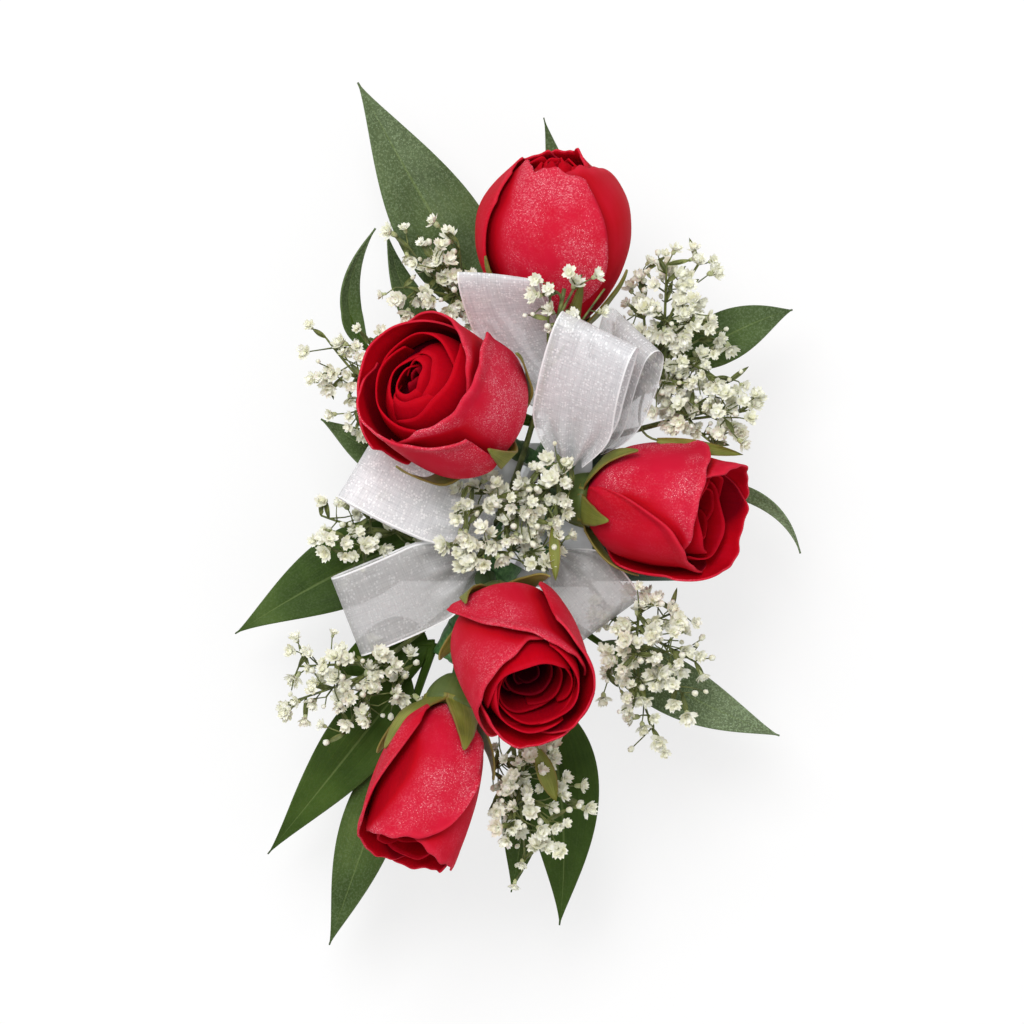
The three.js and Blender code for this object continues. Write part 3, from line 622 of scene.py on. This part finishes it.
def inner_petal(rose, radius, ring, centre, seed):
    """A petal of the heart, wrapped round the bud's axis at a share of the room inside the outer petals."""
    span, scale, rim, rise, tone = ring
    u, v = uv_grid(34, 26)
    spread = 2 * u - 1
    ragged = 0.016 * np.sin(7 * u + seed) + 0.01 * np.sin(16 * u + 2 * seed)
    top = rose["height"] * rise * (1 + ragged * v**3) * (1 - 0.1 * np.abs(spread) ** 2.4)
    z = 0.14 * rose["height"] + v * (top - 0.14 * rose["height"])
    room = np.maximum(radius(z / rose["height"]) - DEEPEST - 1.1, 1.0)
    bent = np.clip((v - 0.62) / 0.38, 0, 1)
    draw = np.sqrt(1 - (1 - rim**2) * bent**2) if rim < 1 else 1 + (rim - 1) * bent**2
    r = scale * room * draw
    r = r + 0.16 * scale * (rose["radius"] - DEEPEST) * (u - 0.5) * draw
    r = np.maximum(r + 0.4 * scale * v * np.sin(5 * u + seed), 0.35)
    angle = rose["hand"] * np.radians(centre + spread * span / 2)
    press = rose["slit"][0] * np.minimum(1, 1.6 * (1 - scale) * v)
    way = math.radians(rose["slit"][1] - rose["roll"])
    x, y = r * np.cos(angle - way), r * np.sin(angle - way) * (1 - press)
    points = np.stack([x * math.cos(way) - y * math.sin(way), x * math.sin(way) + y * math.cos(way), z], -1)
    # Painted shade: the petal darkens from its rim down into the heart
    depth = np.clip((top - z) / (0.3 * rose["height"]), 0, 1)
    return facing(grid_part(points, u, v, tone=np.clip(tone + 0.55 * depth, 0, 1)), rose)


def heart_parts(rose, radius):
    """Rings of petals inside the outer ones, over a floor darkened with painted shade."""
    parts = []
    turn = 30.0
    for k, (count, *ring) in enumerate(HEARTS[rose["heart"]]):
        for n in range(count):
            centre = turn + n * 360 / count + 9 * math.sin(5 * n + k)
            parts.append(inner_petal(rose, radius, ring, centre, 3.1 * k + 1.7 * n))
        turn += 61
    u, v = uv_grid(48, 12)
    base = FLOORS[rose["heart"]]
    bulge = -2 if rose["heart"] in ("funnel", "cup") else 1
    r = np.maximum(radius(base) - DEEPEST - 1.6, 1.0) * (1 - v)
    z = rose["height"] * (base + 0.05 * (1 - (1 - v) ** 2) * bulge)
    # The floor is painted dark, as the shade deep inside the bud
    parts.append(grid_part(about_axis(r, 2 * np.pi * u, z), u, v, tone=0.8))
    return parts


def calyx_parts(rose, radius):
    """The hip, the taped stem with its knuckle, and five sepals that lie along the petals."""
    turn = np.linspace(0, 2 * np.pi, 33)
    foot = -HIP_LENGTH - rose["stem"]
    run = [(0.1, foot - KNUCKLE), (1.2, foot - 1.5), (KNUCKLE, foot), (STEM, foot + 1.6),
           (STEM, -HIP_LENGTH - 0.3), (0.55 * HIP_RADIUS, -0.93 * HIP_LENGTH),
           (0.85 * HIP_RADIUS, -0.64 * HIP_LENGTH), (HIP_RADIUS, -0.28 * HIP_LENGTH),
           (0.93 * HIP_RADIUS, 0.05), (0.3, 0.3)]
    line = catmull(run, np.linspace(0, 1, 46))
    u, v = np.meshgrid(turn / (2 * np.pi), np.linspace(0, 1, len(line)))
    r = line[:, :1] * (1 + 0.025 * np.cos(5 * turn)[None, :])
    points = about_axis(r, turn, np.broadcast_to(line[:, 1:], r.shape))
    taped = smooth(-line[:, 1], HIP_LENGTH - 1.2, HIP_LENGTH + 0.4)[:, None] * np.ones_like(u)
    # The hip carries painted shade (tone 0.75); the taped stem is darker still, as the tape is
    parts = [grid_part(points, u, v, tone=0.75 + 0.25 * taped)]
    for n in range(5):
        u, v = uv_grid(10, 30)
        side = (u - 0.5) * 2
        z = -1.3 + v**1.2 * (rose["sepal"] + 3 * (n % 2))
        out = smooth(v, 0.5, 1.0) * (0.4 + 0.9 * ((n * 2 + 4) % 5) / 4) * rose["reflex"]
        on_petals = radius(np.maximum(z, 0) / rose["height"]) + 0.9
        r = np.where(z < 0, HIP_RADIUS - 0.1, np.maximum(on_petals, HIP_RADIUS - 0.1))
        r = r + out + 0.4 * side**2 * (1 - v)
        lobes = 0.4 * np.maximum(0, np.sin(19 * v + n)) * (1 - v) * v
        half = 2.9 * rose["leafy"] * (1 - v) ** 0.7 * (0.75 + 0.9 * v * (1 - v)) + 0.15 + lobes
        stray = rose["stray"] if n == 0 else 0
        middle = math.radians(72 * n + rose["sepal_turn"] - rose["roll"] + stray)
        angle = middle + side * half / np.maximum(r, 3) + 0.06 * v * math.sin(2.3 * n)
        parts.append(grid_part(about_axis(r, angle, z), u, v))
    return parts


def make_rose(rose):
    name = rose["name"]
    radius = bud_radius(rose)
    turn, at = rose_place(rose)
    for n in range(4):
        parts = [moved(outer_petal(rose, radius, n), turn, at)]
        build(f"{name}.petal.{n + 1}", parts, [PETAL, PETAL_INSIDE_SHADED], name, [f"{name}_petal_{n + 1}"],
              thick=PETAL_THICK, lining=1)
    parts = [moved(p, turn, at) for p in heart_parts(rose, radius)]
    build(f"{name}.heart", parts, [PETAL_INSIDE_SHADED], name, [f"{name}_heart"], thick=HEART_THICK)
    parts = [moved(p, turn, at) for p in calyx_parts(rose, radius)]
    build(f"{name}.calyx", parts, [CALYX], name, [f"{name}_calyx"], thick=CALYX_THICK)


for rose in ROSES:
    make_rose(rose)


# Leaves

# For each leaf: a point that its stem bends past, its tip, where the blade starts, its width, its turn and
# how much pale frost lies on it, partly glitter and partly painted sheen
LEAVES = {
    "leaf_top_left": [((-14, 47, 33), (-33, 83, 30), 0.3, 17.5, 12, 0.5)],
    "leaf_spray_left": [((-49, 28, 30), (-29.6, 55, 30), 0.5, 5, 40, 0.4),
                        ((-22, 26, 31), (-27.4, 54, 33), 0.38, 9, 40, 0.3)],
    "leaf_top": [((9, 52, 25), (2.7, 76.6, 22), 0.2, 8, 0, 0.3)],
    "leaf_spray_right": [((35.6, 35.4, 33), (50.4, 39.4, 30), 0.35, 10, -15, 0.3),
                         ((22, 28, 34), (30, 41, 33), 0.25, 8, 10, 0.2)],
    "leaf_right": [((46, 14, 30), (52, -7.4, 27), 0.35, 3.2, 30, 0.9)],
    "leaf_spray_mid_left": [((-28, -4, 31), (-56.6, -22.8, 28), 0.32, 15, 8, 0.1),
                            ((-22, 6, 32), (-40, 18.4, 33), 0.45, 9, 30, 0.3)],
    "leaf_low_right": [((24, -34, 32), (48, -42.4, 27), 0.3, 11, -14, 0.8)],
    "leaf_spray_low_left": [((-29, -39, 31), (-50.4, -65.2, 26), 0.2, 13, 10, 0.05),
                            ((-29.5, -57, 29), (-38.6, -82.8, 24), 0.3, 11.5, 20, 0.2),
                            ((-25, -24, 34), (-39, -31, 33), 0.08, 12, 0, 0.0)],
    "leaf_spray_bottom": [((9.5, -45, 31), (5.7, -78.9, 26), 0.3, 15, -12, 0.05),
                          ((2, -50, 30), (-3.6, -72.6, 25), 0.45, 8.5, 5, 0.1)],
}


def turned(v, axis, angle):
    """Vectors turned about axes, row by row."""
    c, s = np.cos(angle)[:, None], np.sin(angle)[:, None]
    return v * c + np.cross(axis, v) * s + axis * np.sum(axis * v, 1)[:, None] * (1 - c)


def leaf_parts(root, via, tip, blade, width, roll, frost, seed):
    """A lance-shaped blade with a keel along its midrib, on a round stem."""
    u, v = uv_grid(20, 72)
    t = v[:, 0]
    path = bezier(root, via, tip, t)
    heading = unit_rows(np.gradient(path, axis=0))
    share = np.maximum(0, (t - blade) / (1 - blade))
    half = np.maximum(0.12, width / 2 * 3.84 * share**0.75 * np.maximum(1 - share, 0) ** 1.3)
    side = unit_rows(np.cross(heading, [0, 0, 1]))
    side = turned(side, heading, np.radians(roll * np.minimum(1, 3 * share)))
    face = np.cross(side, heading)
    off = (u - 0.5) * 2 * half[:, None]
    wave = 0.4 * np.sin(8 * v + seed) * (2 * u - 1) ** 2 * np.minimum(1, half / 3)[:, None]
    lift = 0.24 * np.abs(off) - 0.014 * off**2 + wave
    points = path[:, None] + side[:, None] * off[..., None] + face[:, None] * lift[..., None]
    keep = t >= blade - 0.02
    parts = [grid_part(points[keep], u[keep], (v[keep] - blade) / (1 - blade), tone=frost)]
    stalk = t <= blade + 0.16
    parts.append(tube_part(path[stalk] - 0.2 * face[stalk], np.linspace(0.75, 0.3, stalk.sum()), 8))
    return parts


for k, (name, leaves) in enumerate(LEAVES.items()):
    root = joint_at(name + "_bend")
    parts = []
    for n, leaf in enumerate(leaves):
        parts += leaf_parts(root, *leaf, 2.0 * k + n)
    build(name + ".blade", parts, [LEAF], name + "_stem", [name], thick=LEAF_THICK)


# Bow

# The ribbon's width, its width where it is gathered, the share of a loop that this takes, and the pleats
WIDTH, PINCH, GATHER, PLEATS = 16.0, 4.5, 0.42, 3
# For each loop: its foot, a point that it bends past, the middle of its fold, its turn, its half depth,
# what holds its foot, and how sheer it is and how much painted shade darkens it
LOOPS = [
    ("ribbon_loop_top", (9.5, 20, 45), (-2.8, 31.4, 48), (-6, 44.8, 66), -23, 1.1, "taped_spine", -0.1),
    ("ribbon_loop_upper_right", (7.6, 10.4, 50.6), (8.2, 21.3, 60.4), (12.8, 34.6, 69), -12, 3.0,
     "taped_spine", 0.2),
    ("ribbon_loop_far_right", (12.8, 13, 43), (17.4, 24, 50), (19.6, 35, 57), -52, 2.2, "taped_spine", 0.3),
    ("ribbon_loop_left", (-6.8, -1, 45), (-19.6, 2.5, 46.2), (-32.5, 10.2, 46), 4, 2.6, "ribbon_knot", -0.5),
    ("ribbon_loop_low_left", (-10.4, -8.5, 42.2), (-21, -14, 42.6), (-35, -19.4, 42.5), -6, 2.6,
     "taped_spine", 1.3),
    ("ribbon_loop_low_right", (5, -8, 43), (9, -13, 43), (14.8, -20.4, 44), -20, 2.4, "taped_spine", 1.5),
]


def make_loop(name, foot, via, fold, roll, belly, holder, sheer_and_shaded, seed):
    """A loop of ribbon: out from its gathered foot, round a fold and back, in even pleats at the foot."""
    middle = bezier(foot, via, fold, np.linspace(0, 1, 300))
    far = run_length(middle)
    length = far[-1]
    run = [(0, 0.5), (0.3, 0.5 * belly + 0.3), (0.72, belly), (0.96, 0.72 * belly), (1, 0),
           (0.96, -0.72 * belly), (0.72, -belly), (0.3, -0.5 * belly - 0.3), (0, -0.5)]
    line = catmull([(s * length, h) for s, h in run], np.linspace(0, 1, 600), 0.25)
    along = run_length(line)
    u, v = uv_grid(48, 120)
    s = np.clip(np.interp(v[:, 0] * along[-1], along, line[:, 0]), 0, length)
    h = np.interp(v[:, 0] * along[-1], along, line[:, 1])
    tangent = np.gradient(middle, axis=0)
    centre = np.stack([np.interp(s, far, middle[:, k]) for k in range(3)], 1)
    out = unit_rows(np.stack([np.interp(s, far, tangent[:, k]) for k in range(3)], 1))
    side = unit_rows(np.cross(out, [0, 0, 1]))
    side = turned(side, out, np.full(len(s), math.radians(roll)))
    face = np.cross(side, out)
    full = PINCH + (WIDTH - PINCH) * np.sin(np.minimum(1, 0.05 + s / (GATHER * length)) * np.pi / 2)
    spare = np.maximum((WIDTH / full) ** 2 - 1, 0)
    pleat = np.minimum(full / (2 * np.pi * PLEATS) * np.sqrt(2 * spare), 1.1)
    crease = pleat[:, None] * np.sin(2 * np.pi * PLEATS * u + 0.6 * seed)
    give = 0.45 * np.sin(2.2 * np.pi * v + seed) * np.sin(np.pi * u + 0.5 * seed) * (s / length)[:, None]
    height = h[:, None] + crease + give
    off = (u - 0.5) * full[:, None]
    points = centre[:, None] + face[:, None] * height[..., None] + side[:, None] * off[..., None]
    parts = [grid_part(points, u, v, tone=sheer_and_shaded)]
    ob = build(name + ".ribbon", parts, [RIBBON], "wristlet", [name])


for k, loop in enumerate(LOOPS):
    make_loop(*loop, seed=1.0 + k)


KNOT, KNOT_RADIUS, KNOT_RISE, KNOT_STEM_FOOT = (-2.5, -3, 44.5), 3.0, 3.6, 39.2
# Where the tape comes in the knot's list of materials
AS_TAPE = 1


def knot_parts():
    """The ribbon's gathered middle, drawn in by its wire, on a taped stem."""
    u, v = uv_grid(72, 30)
    turn, lift = 2 * np.pi * u, np.pi * (v - 0.5)
    ruffle = 1 + 0.1 * np.sin(11 * turn + 2 * np.sin(3 * lift)) * np.cos(lift)
    ruffle = ruffle - 0.22 * np.exp(-(lift / 0.25) ** 2)
    points = about_axis(KNOT_RADIUS * np.cos(lift) * ruffle, turn, KNOT_RISE * np.sin(lift)) + KNOT
    stem = tube_part([(*KNOT[:2], KNOT_STEM_FOOT), KNOT], STEM, 12, mat=AS_TAPE)
    return [grid_part(points, u, v), stem]


build("ribbon_knot.gathers", knot_parts(), [RIBBON, TAPE], "wristlet", ["ribbon_knot"])


# Baby's breath

# For each spray: where it leaves the spine and which way, and for each of its hubs the place, the reach each
# way, the number of twigs, how far it leans out, the florets on a twig and a point that the stem bends past
SPRIGS = {
    "gypsophila_top_left": (0.88, 140, [((-17, 44, 42.5), (8, 10.5, 5.5), 7, 0.3, 9)]),
    "gypsophila_right": (0.77, -5, [((27.5, 35, 43.5), (8, 17, 8), 10, 0, 13),
                                    ((34.5, 20, 43.5), (7.5, 9, 5), 6, 0, 11)]),
    "gypsophila_left": (0.49, 175, [((-33.5, -3.6, 38), (8, 5.6, 3.6), 5, 0.2, 9),
                                    ((-34, 28, 37), (7, 9, 4), 6, 0, 9)]),
    "gypsophila_centre": (0.55, 150, [((-5, 1.5, 54.5), (9.5, 6, 2.4), 7, 0, 9),
                                      ((-9.6, -7.6, 52.4), (6.5, 3.2, 2), 4, 0, 7),
                                      ((4.5, 5.5, 54), (4.5, 4.5, 1.5), 5, 0, 6),
                                      ((-1, -8, 52), (4.5, 3, 1.6), 4, 0, 6),
                                      ((6.4, 42.5, 64.5), (7.6, 4.5, 1), 5, 0, 3, (1.5, 18, 61))]),
    "gypsophila_low_left": (0.2, 185, [((-34, -32.5, 39.6), (11, 8, 3.6), 7, 0.5, 12)]),
    "gypsophila_low_right": (0.5, -30, [((22.5, -28, 41), (9, 13, 6), 10, 0, 12)]),
    "gypsophila_bottom": (0.16, -30, [((-2, -53, 40.8), (9, 11, 4.6), 8, 0.5, 11)]),
}
# Larger leaves among the florets: the spray, where the leaf starts, its tip and its width
BRACTS = [("gypsophila_bottom", (1.5, -44.5, 47), (5, -54.5, 45), 3.6),
          ("gypsophila_centre", (4.5, -1.5, 56), (4.8, -12.5, 58), 2.2),
          ("gypsophila_right", (24, 14.2, 50), (40.5, 11.4, 50), 2.6)]
# Where the twigs and the larger leaves come in a spray's list of materials
AS_TWIG, AS_BRACT = 1, 2
FLORET_SIZES, BUD_SIZES = (1.2, 1.4, 1.6, 1.8, 2.1), (1.1, 1.5)
SPINE_Z, SPINE_RADIUS = 34.7, 4.0
SPINE_TURNS = [(-15, -28), (-6.5, -11), (0, 1), (6, 13), (13.5, 27)]
SPINE = catmull([(x, y, SPINE_Z) for x, y in SPINE_TURNS], np.linspace(0, 1, 400), 0.25)
SPINE_RUN = run_length(SPINE)


def on_spine(along):
    """The point of the spine at a share of its length."""
    return np.array([np.interp(along * SPINE_RUN[-1], SPINE_RUN, SPINE[:, k]) for k in range(3)])


def floret_template(size):
    """Two whorls of small notched petals over a green cup."""
    parts = []
    for count, length, lift, start in ((6, 1.0, 22, 0.0), (5, 0.72, 55, 0.4)):
        for n in range(count):
            u, v = uv_grid(2, 3)
            angle = start + 2 * np.pi * n / count + rng.normal(0, 0.12)
            tilt = math.radians(lift + rng.normal(0, 9))
            wide = 0.34 * np.sin(np.pi * np.clip(0.12 + 0.72 * v, 0, 1)) * (u - 0.5) * 2
            reach = length * (v * (1 - 0.1 * (1 - np.abs(2 * u - 1)) * (v > 0.9)))
            rise = np.sin(tilt) * reach + 0.16 * v * v + 0.1 * np.abs(2 * u - 1) * v
            flat = np.cos(tilt) * reach
            x = flat * np.cos(angle) - wide * np.sin(angle)
            y = flat * np.sin(angle) + wide * np.cos(angle)
            points = np.stack([x, y, rise], -1) * size
            parts.append(grid_part(points, u, v, tone=np.clip(0.9 - 1.7 * v, 0, 1)))
    cup = tube_part([(0, 0, -0.75 * size), (0, 0, -0.5 * size), (0, 0, 0.06 * size)],
                    np.array([0.08, 0.26, 0.3]) * size, 6, tone=1.0)
    return parts + [cup]


def bud_template(size):
    return [tube_part([(0, 0, -0.5 * size), (0, 0, -0.25 * size), (0, 0, 0.2 * size), (0, 0, 0.5 * size)],
                      np.array([0.12, 0.36, 0.42, 0.12]) * size, 7, tone=0.55)]


FLORETS = [floret_template(size) for size in FLORET_SIZES]
BUDS = [bud_template(size) for size in BUD_SIZES]
PROFILES = {rose["name"]: bud_radius(rose) for rose in ROSES}


def frame_to(axis):
    """A turn that takes +Z to axis, with a chance spin about it."""
    axis = unit(axis)
    side = unit(np.cross(axis, [0.31, 0.77, 0.2]))
    spin = rng.uniform(0, 2 * np.pi)
    x = math.cos(spin) * side + math.sin(spin) * np.cross(axis, side)
    return np.stack([x, np.cross(axis, x), axis], 1)


def clear(point, room):
    """True where a point keeps its distance from every rose, at rest and at both ends of its bend."""
    for rose in ROSES:
        joint = JOINTS[rose["name"] + "_bend"]
        pivot = joint_at(joint["name"])
        turn, at = rose_place(rose)
        angles = -np.radians([0, *joint["range_deg"]])
        axis = np.tile(unit(joint["axis"]), (3, 1))
        local = (turned(np.tile(point - pivot, (3, 1)), axis, angles) + pivot - at) @ turn
        far, z = np.hypot(local[:, 0], local[:, 1]), local[:, 2]
        side = PROFILES[rose["name"]](np.clip(z / rose["height"], 0, 1)) + 1.2 * rose["reflex"]
        side = np.where(z < 0, HIP_RADIUS + 0.6, np.maximum(side, HIP_RADIUS + 0.6))
        if np.any((far < side + room) & (z > -HIP_LENGTH - room) & (z < rose["height"] + room)):
            return False
    return True


def blade_part(base, way, length, width=1.0, mat=AS_TWIG):
    """A narrow leaf of the baby's breath."""
    u, v = uv_grid(4, 10)
    way = unit(way)
    side = unit(np.cross(way, [0, 0, 1.0]))
    half = width / 2 * np.sin(np.pi * np.clip(0.08 + 0.92 * v, 0, 1)) ** 0.8 * (u - 0.5) * 2
    points = base + way * (v * length)[..., None] + side * half[..., None]
    points[..., 2] += 0.4 * width * np.abs(u - 0.5) - 0.09 * length * v**2
    return grid_part(points, u, v, mat=mat)


def hub_parts(root, hub, reach, twigs, lean, florets, via=None):
    """A stem from the root to a hub, twigs from there, and on each twig florets, buds and narrow leaves."""
    hub, reach = np.array(hub, float), np.array(reach, float)
    if via is None:
        via = root + 0.6 * (hub - root)
        via[2] = root[2]
    stem = bezier(root, via, hub, np.linspace(0, 1, 20))
    parts = [tube_part(stem, np.linspace(0.62, 0.42, 20), 7, mat=AS_TWIG)]
    outward = unit((hub - root) * [1, 1, 0])
    for n in range(twigs):
        rise = (n + 0.5) / twigs
        ring, turn = math.sqrt(1 - rise * rise), n * math.pi * (3 - math.sqrt(5))
        end = hub + np.array([ring * math.cos(turn), ring * math.sin(turn), 2 * (rise - 0.3)]) * reach
        end = end + outward * lean * reach[0] * 0.5
        for share in (1.0, 0.8, 0.6, 0.4, 0.2):
            if clear(hub + share * (end - hub), 0.6):
                break
        end = hub + share * (end - hub)
        start = bezier(root, via, hub, np.array([0.6 + 0.39 * rise]))[0]
        bow = (start + end) / 2 + np.array([0, 0, 1.2]) + rng.normal(0, 0.6, 3)
        twig = bezier(start, bow, end, np.linspace(0, 1, 9))
        parts.append(tube_part(twig, np.linspace(0.34, 0.2, 9), 5, mat=AS_TWIG))
        for m in range(florets):
            base = twig[4 + m % 5]
            for _ in range(10):
                away = rng.normal(0, 1, 3) * [1, 1, 0.5] + [0, 0, 0.35] + 0.4 * unit(end - hub)
                tip = base + unit(away) * rng.uniform(1.8, 5.6)
                axis = unit(unit(tip - base) + [0, 0, 0.9] + rng.normal(0, 0.3, 3))
                if clear(tip + 1.2 * axis, 2.0):
                    break
            else:
                continue
            middle = (base + tip) / 2 + rng.normal(0, 0.3, 3)
            parts.append(tube_part([base, middle, tip], [0.17, 0.13, 0.12], 4, mat=AS_TWIG))
            choice = FLORETS if rng.random() > 0.28 else BUDS
            model = choice[rng.integers(0, len(choice))]
            turn_to = frame_to(axis)
            parts += [moved(p, turn_to, tip + 0.8 * axis) for p in model]
            level_way = away * [1, 1, 0.3]
            if m % 4 == 0 and clear(base + 4 * unit(level_way), 1.2):
                parts.append(blade_part(base, level_way, rng.uniform(3.0, 5.5)))
    return parts


def bract_parts(hub, base, tip, width):
    """A larger leaf on a stalk from just under a hub."""
    base = np.array(base)
    way = np.array(tip) - base
    foot, end = np.array(hub) - [0, 0, 1.5], base + 0.3 * unit(way)
    stalk = bezier(foot, base - 0.5 * way, end, np.linspace(0, 1, 14))
    return [tube_part(stalk, np.linspace(0.34, 0.22, 14), 6, mat=AS_TWIG),
            blade_part(base, way, np.linalg.norm(way), width, mat=AS_BRACT)]


for k, (name, (along, side, hubs)) in enumerate(SPRIGS.items()):
    rng = np.random.default_rng(30 + k)
    level = math.radians(side)
    root = on_spine(along) + np.array([5 * math.cos(level), 5 * math.sin(level), 1.2])
    parts = [p for hub in hubs for p in hub_parts(root, *hub)]
    for spray, *bract in BRACTS:
        if spray == name:
            parts += bract_parts(hubs[0][0], *bract)
    build(name + ".spray", parts, [FLORET, TWIG, CALYX], "wristlet", [name])


# Spine and wristlet


def spine_parts():
    """The bound stems, with a stub to each rose and to each ribbon loop that is wired by itself."""
    parts = [tube_part(SPINE[::5], SPINE_RADIUS * (1 + 0.02 * np.sin(np.arange(80) * 1.7)), 32)]
    held = [(joint_at(rose["name"] + "_bend"), KNUCKLE + 0.3, STEM) for rose in ROSES]
    held += [(np.array(loop[1], float), 1.4, 1.0) for loop in LOOPS if "taped_spine" in loop]
    for point, gap, radius in held:
        root = SPINE[np.argmin(np.linalg.norm(SPINE - point, axis=1))]
        end = point - unit(point - root) * gap
        parts.append(tube_part(root + (end - root) * np.linspace(0, 1, 6)[:, None], radius, 14))
    return parts


build("taped_spine.tape", spine_parts(), [TAPE], "wristlet", ["taped_spine"])

# The elastic: radius of its bends, length of its flat runs, width and thickness
BEND, RUN, BAND, THICK = 14.0, 30.0, 25.4, 1.2


def band_parts():
    """The elastic: a flat loop of even thickness with rounded edges, ribbed along its run."""
    arc = np.linspace(-np.pi / 2, np.pi / 2, 37)
    line = np.vstack([np.stack([np.linspace(-RUN / 2, RUN / 2, 21)[:-1], np.full(20, -BEND)], 1),
                      np.stack([RUN / 2 + BEND * np.cos(arc), BEND * np.sin(arc)], 1),
                      np.stack([np.linspace(RUN / 2, -RUN / 2, 21)[1:-1], np.full(19, BEND)], 1),
                      np.stack([-RUN / 2 - BEND * np.cos(arc), -BEND * np.sin(arc)], 1)[:-1]])
    step = np.roll(line, -1, 0) - np.roll(line, 1, 0)
    normal = unit_rows(np.stack([step[:, 1], -step[:, 0]], 1))
    turn = np.linspace(0, 2 * np.pi, 57)
    across = np.sign(np.cos(turn)) * np.abs(np.cos(turn)) ** 0.5 * BAND / 2
    out = np.sign(np.sin(turn)) * np.abs(np.sin(turn)) ** 0.35 * THICK / 2
    line, normal = np.vstack([line, line[:1]]), np.vstack([normal, normal[:1]])
    ring = line[:, None] + normal[:, None] * out[None, :, None]
    y = np.broadcast_to(across, ring.shape[:2])
    points = np.stack([ring[..., 0], y, ring[..., 1] + BEND + THICK / 2], -1)
    u = 0.5 + y / BAND
    v = np.broadcast_to(np.linspace(0, 1, len(points))[:, None], u.shape)
    return [grid_part(points, u, v)]


band = build("wristlet.elastic", band_parts(), [ELASTIC], None,
             [f"wristlet_band_{n}" for n in ("upper", "lower", "left", "right")])
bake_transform(band)
clip = frame["nodes"]["wristlet_clip"]
clip.data.materials.clear()
clip.data.materials.append(STEEL)


# Stage, in metres

FLOOR_HALF, FLOOR_GAP = 1.5, 0.0002
FLOOR_GLOW = 0.72
SKY_LIGHT = 0.45
AIM = (0, 0, 0.04)
SENSOR = 36
CAMERA_AT = (-0.00342, 0.00057, 1.6)
# The frame is this wide at the height of the flowers
FRAME_WIDTH, FLOWER_HEIGHT = 0.1946, 0.045


def floor_material():
    """White paper that keeps a soft shadow."""
    n = Nodes("floor")
    n.set(Base_Color=(0.96, 0.96, 0.96), Roughness=0.9, Specular_IOR_Level=0.1)
    mix = n.add("MixShader")
    n.put(mix.inputs[0], n.times(n.seen(), FLOOR_GLOW))
    n.put(mix.inputs[1], n.tree.nodes["Principled BSDF"].outputs[0])
    n.put(mix.inputs[2], n.add("Emission").outputs[0])
    n.put(n.tree.nodes["Material Output"].inputs["Surface"], mix.outputs[0])
    return n.owner


def make_floor():
    me = bpy.data.meshes.new("floor")
    corners = [(-1, -1), (1, -1), (1, 1), (-1, 1)]
    me.from_pydata([(x * FLOOR_HALF, y * FLOOR_HALF, 0) for x, y in corners], [], [(0, 1, 2, 3)])
    me.materials.append(floor_material())
    floor = add_object("floor", me)
    floor.location.z = -FLOOR_GAP


def area_light(name, at, width, power):
    light = bpy.data.lights.new(name, "AREA")
    light.energy = power
    light.size = width
    ob = add_object(name, light)
    ob.location = at
    ob.rotation_euler = (Vector(AIM) - Vector(at)).to_track_quat("-Z", "Y").to_euler()


def make_world():
    """An even white sky: plain light on the object, and white where it is seen."""
    n = Nodes("studio", "worlds")
    strength = n.line(n.seen(), 1 - SKY_LIGHT, SKY_LIGHT)
    n.fill(n.tree.nodes["Background"], Color=(1, 1, 1), Strength=strength)
    bpy.context.scene.world = n.owner


def make_camera():
    """Straight above the corsage, looking down."""
    lens = bpy.data.cameras.new("camera")
    lens.sensor_width = SENSOR
    lens.lens = SENSOR * (CAMERA_AT[2] - FLOWER_HEIGHT) / FRAME_WIDTH
    lens.clip_end = 10
    camera = add_object("camera", lens)
    camera.location = CAMERA_AT
    bpy.context.scene.camera = camera


make_floor()
area_light("key", (-0.2, 0.4, 1.1), 0.5, 9.0)
area_light("fill", (0.35, -0.35, 1.2), 1.0, 2.4)
make_world()
make_camera()
bpy.context.scene.view_settings.view_transform = "Standard"
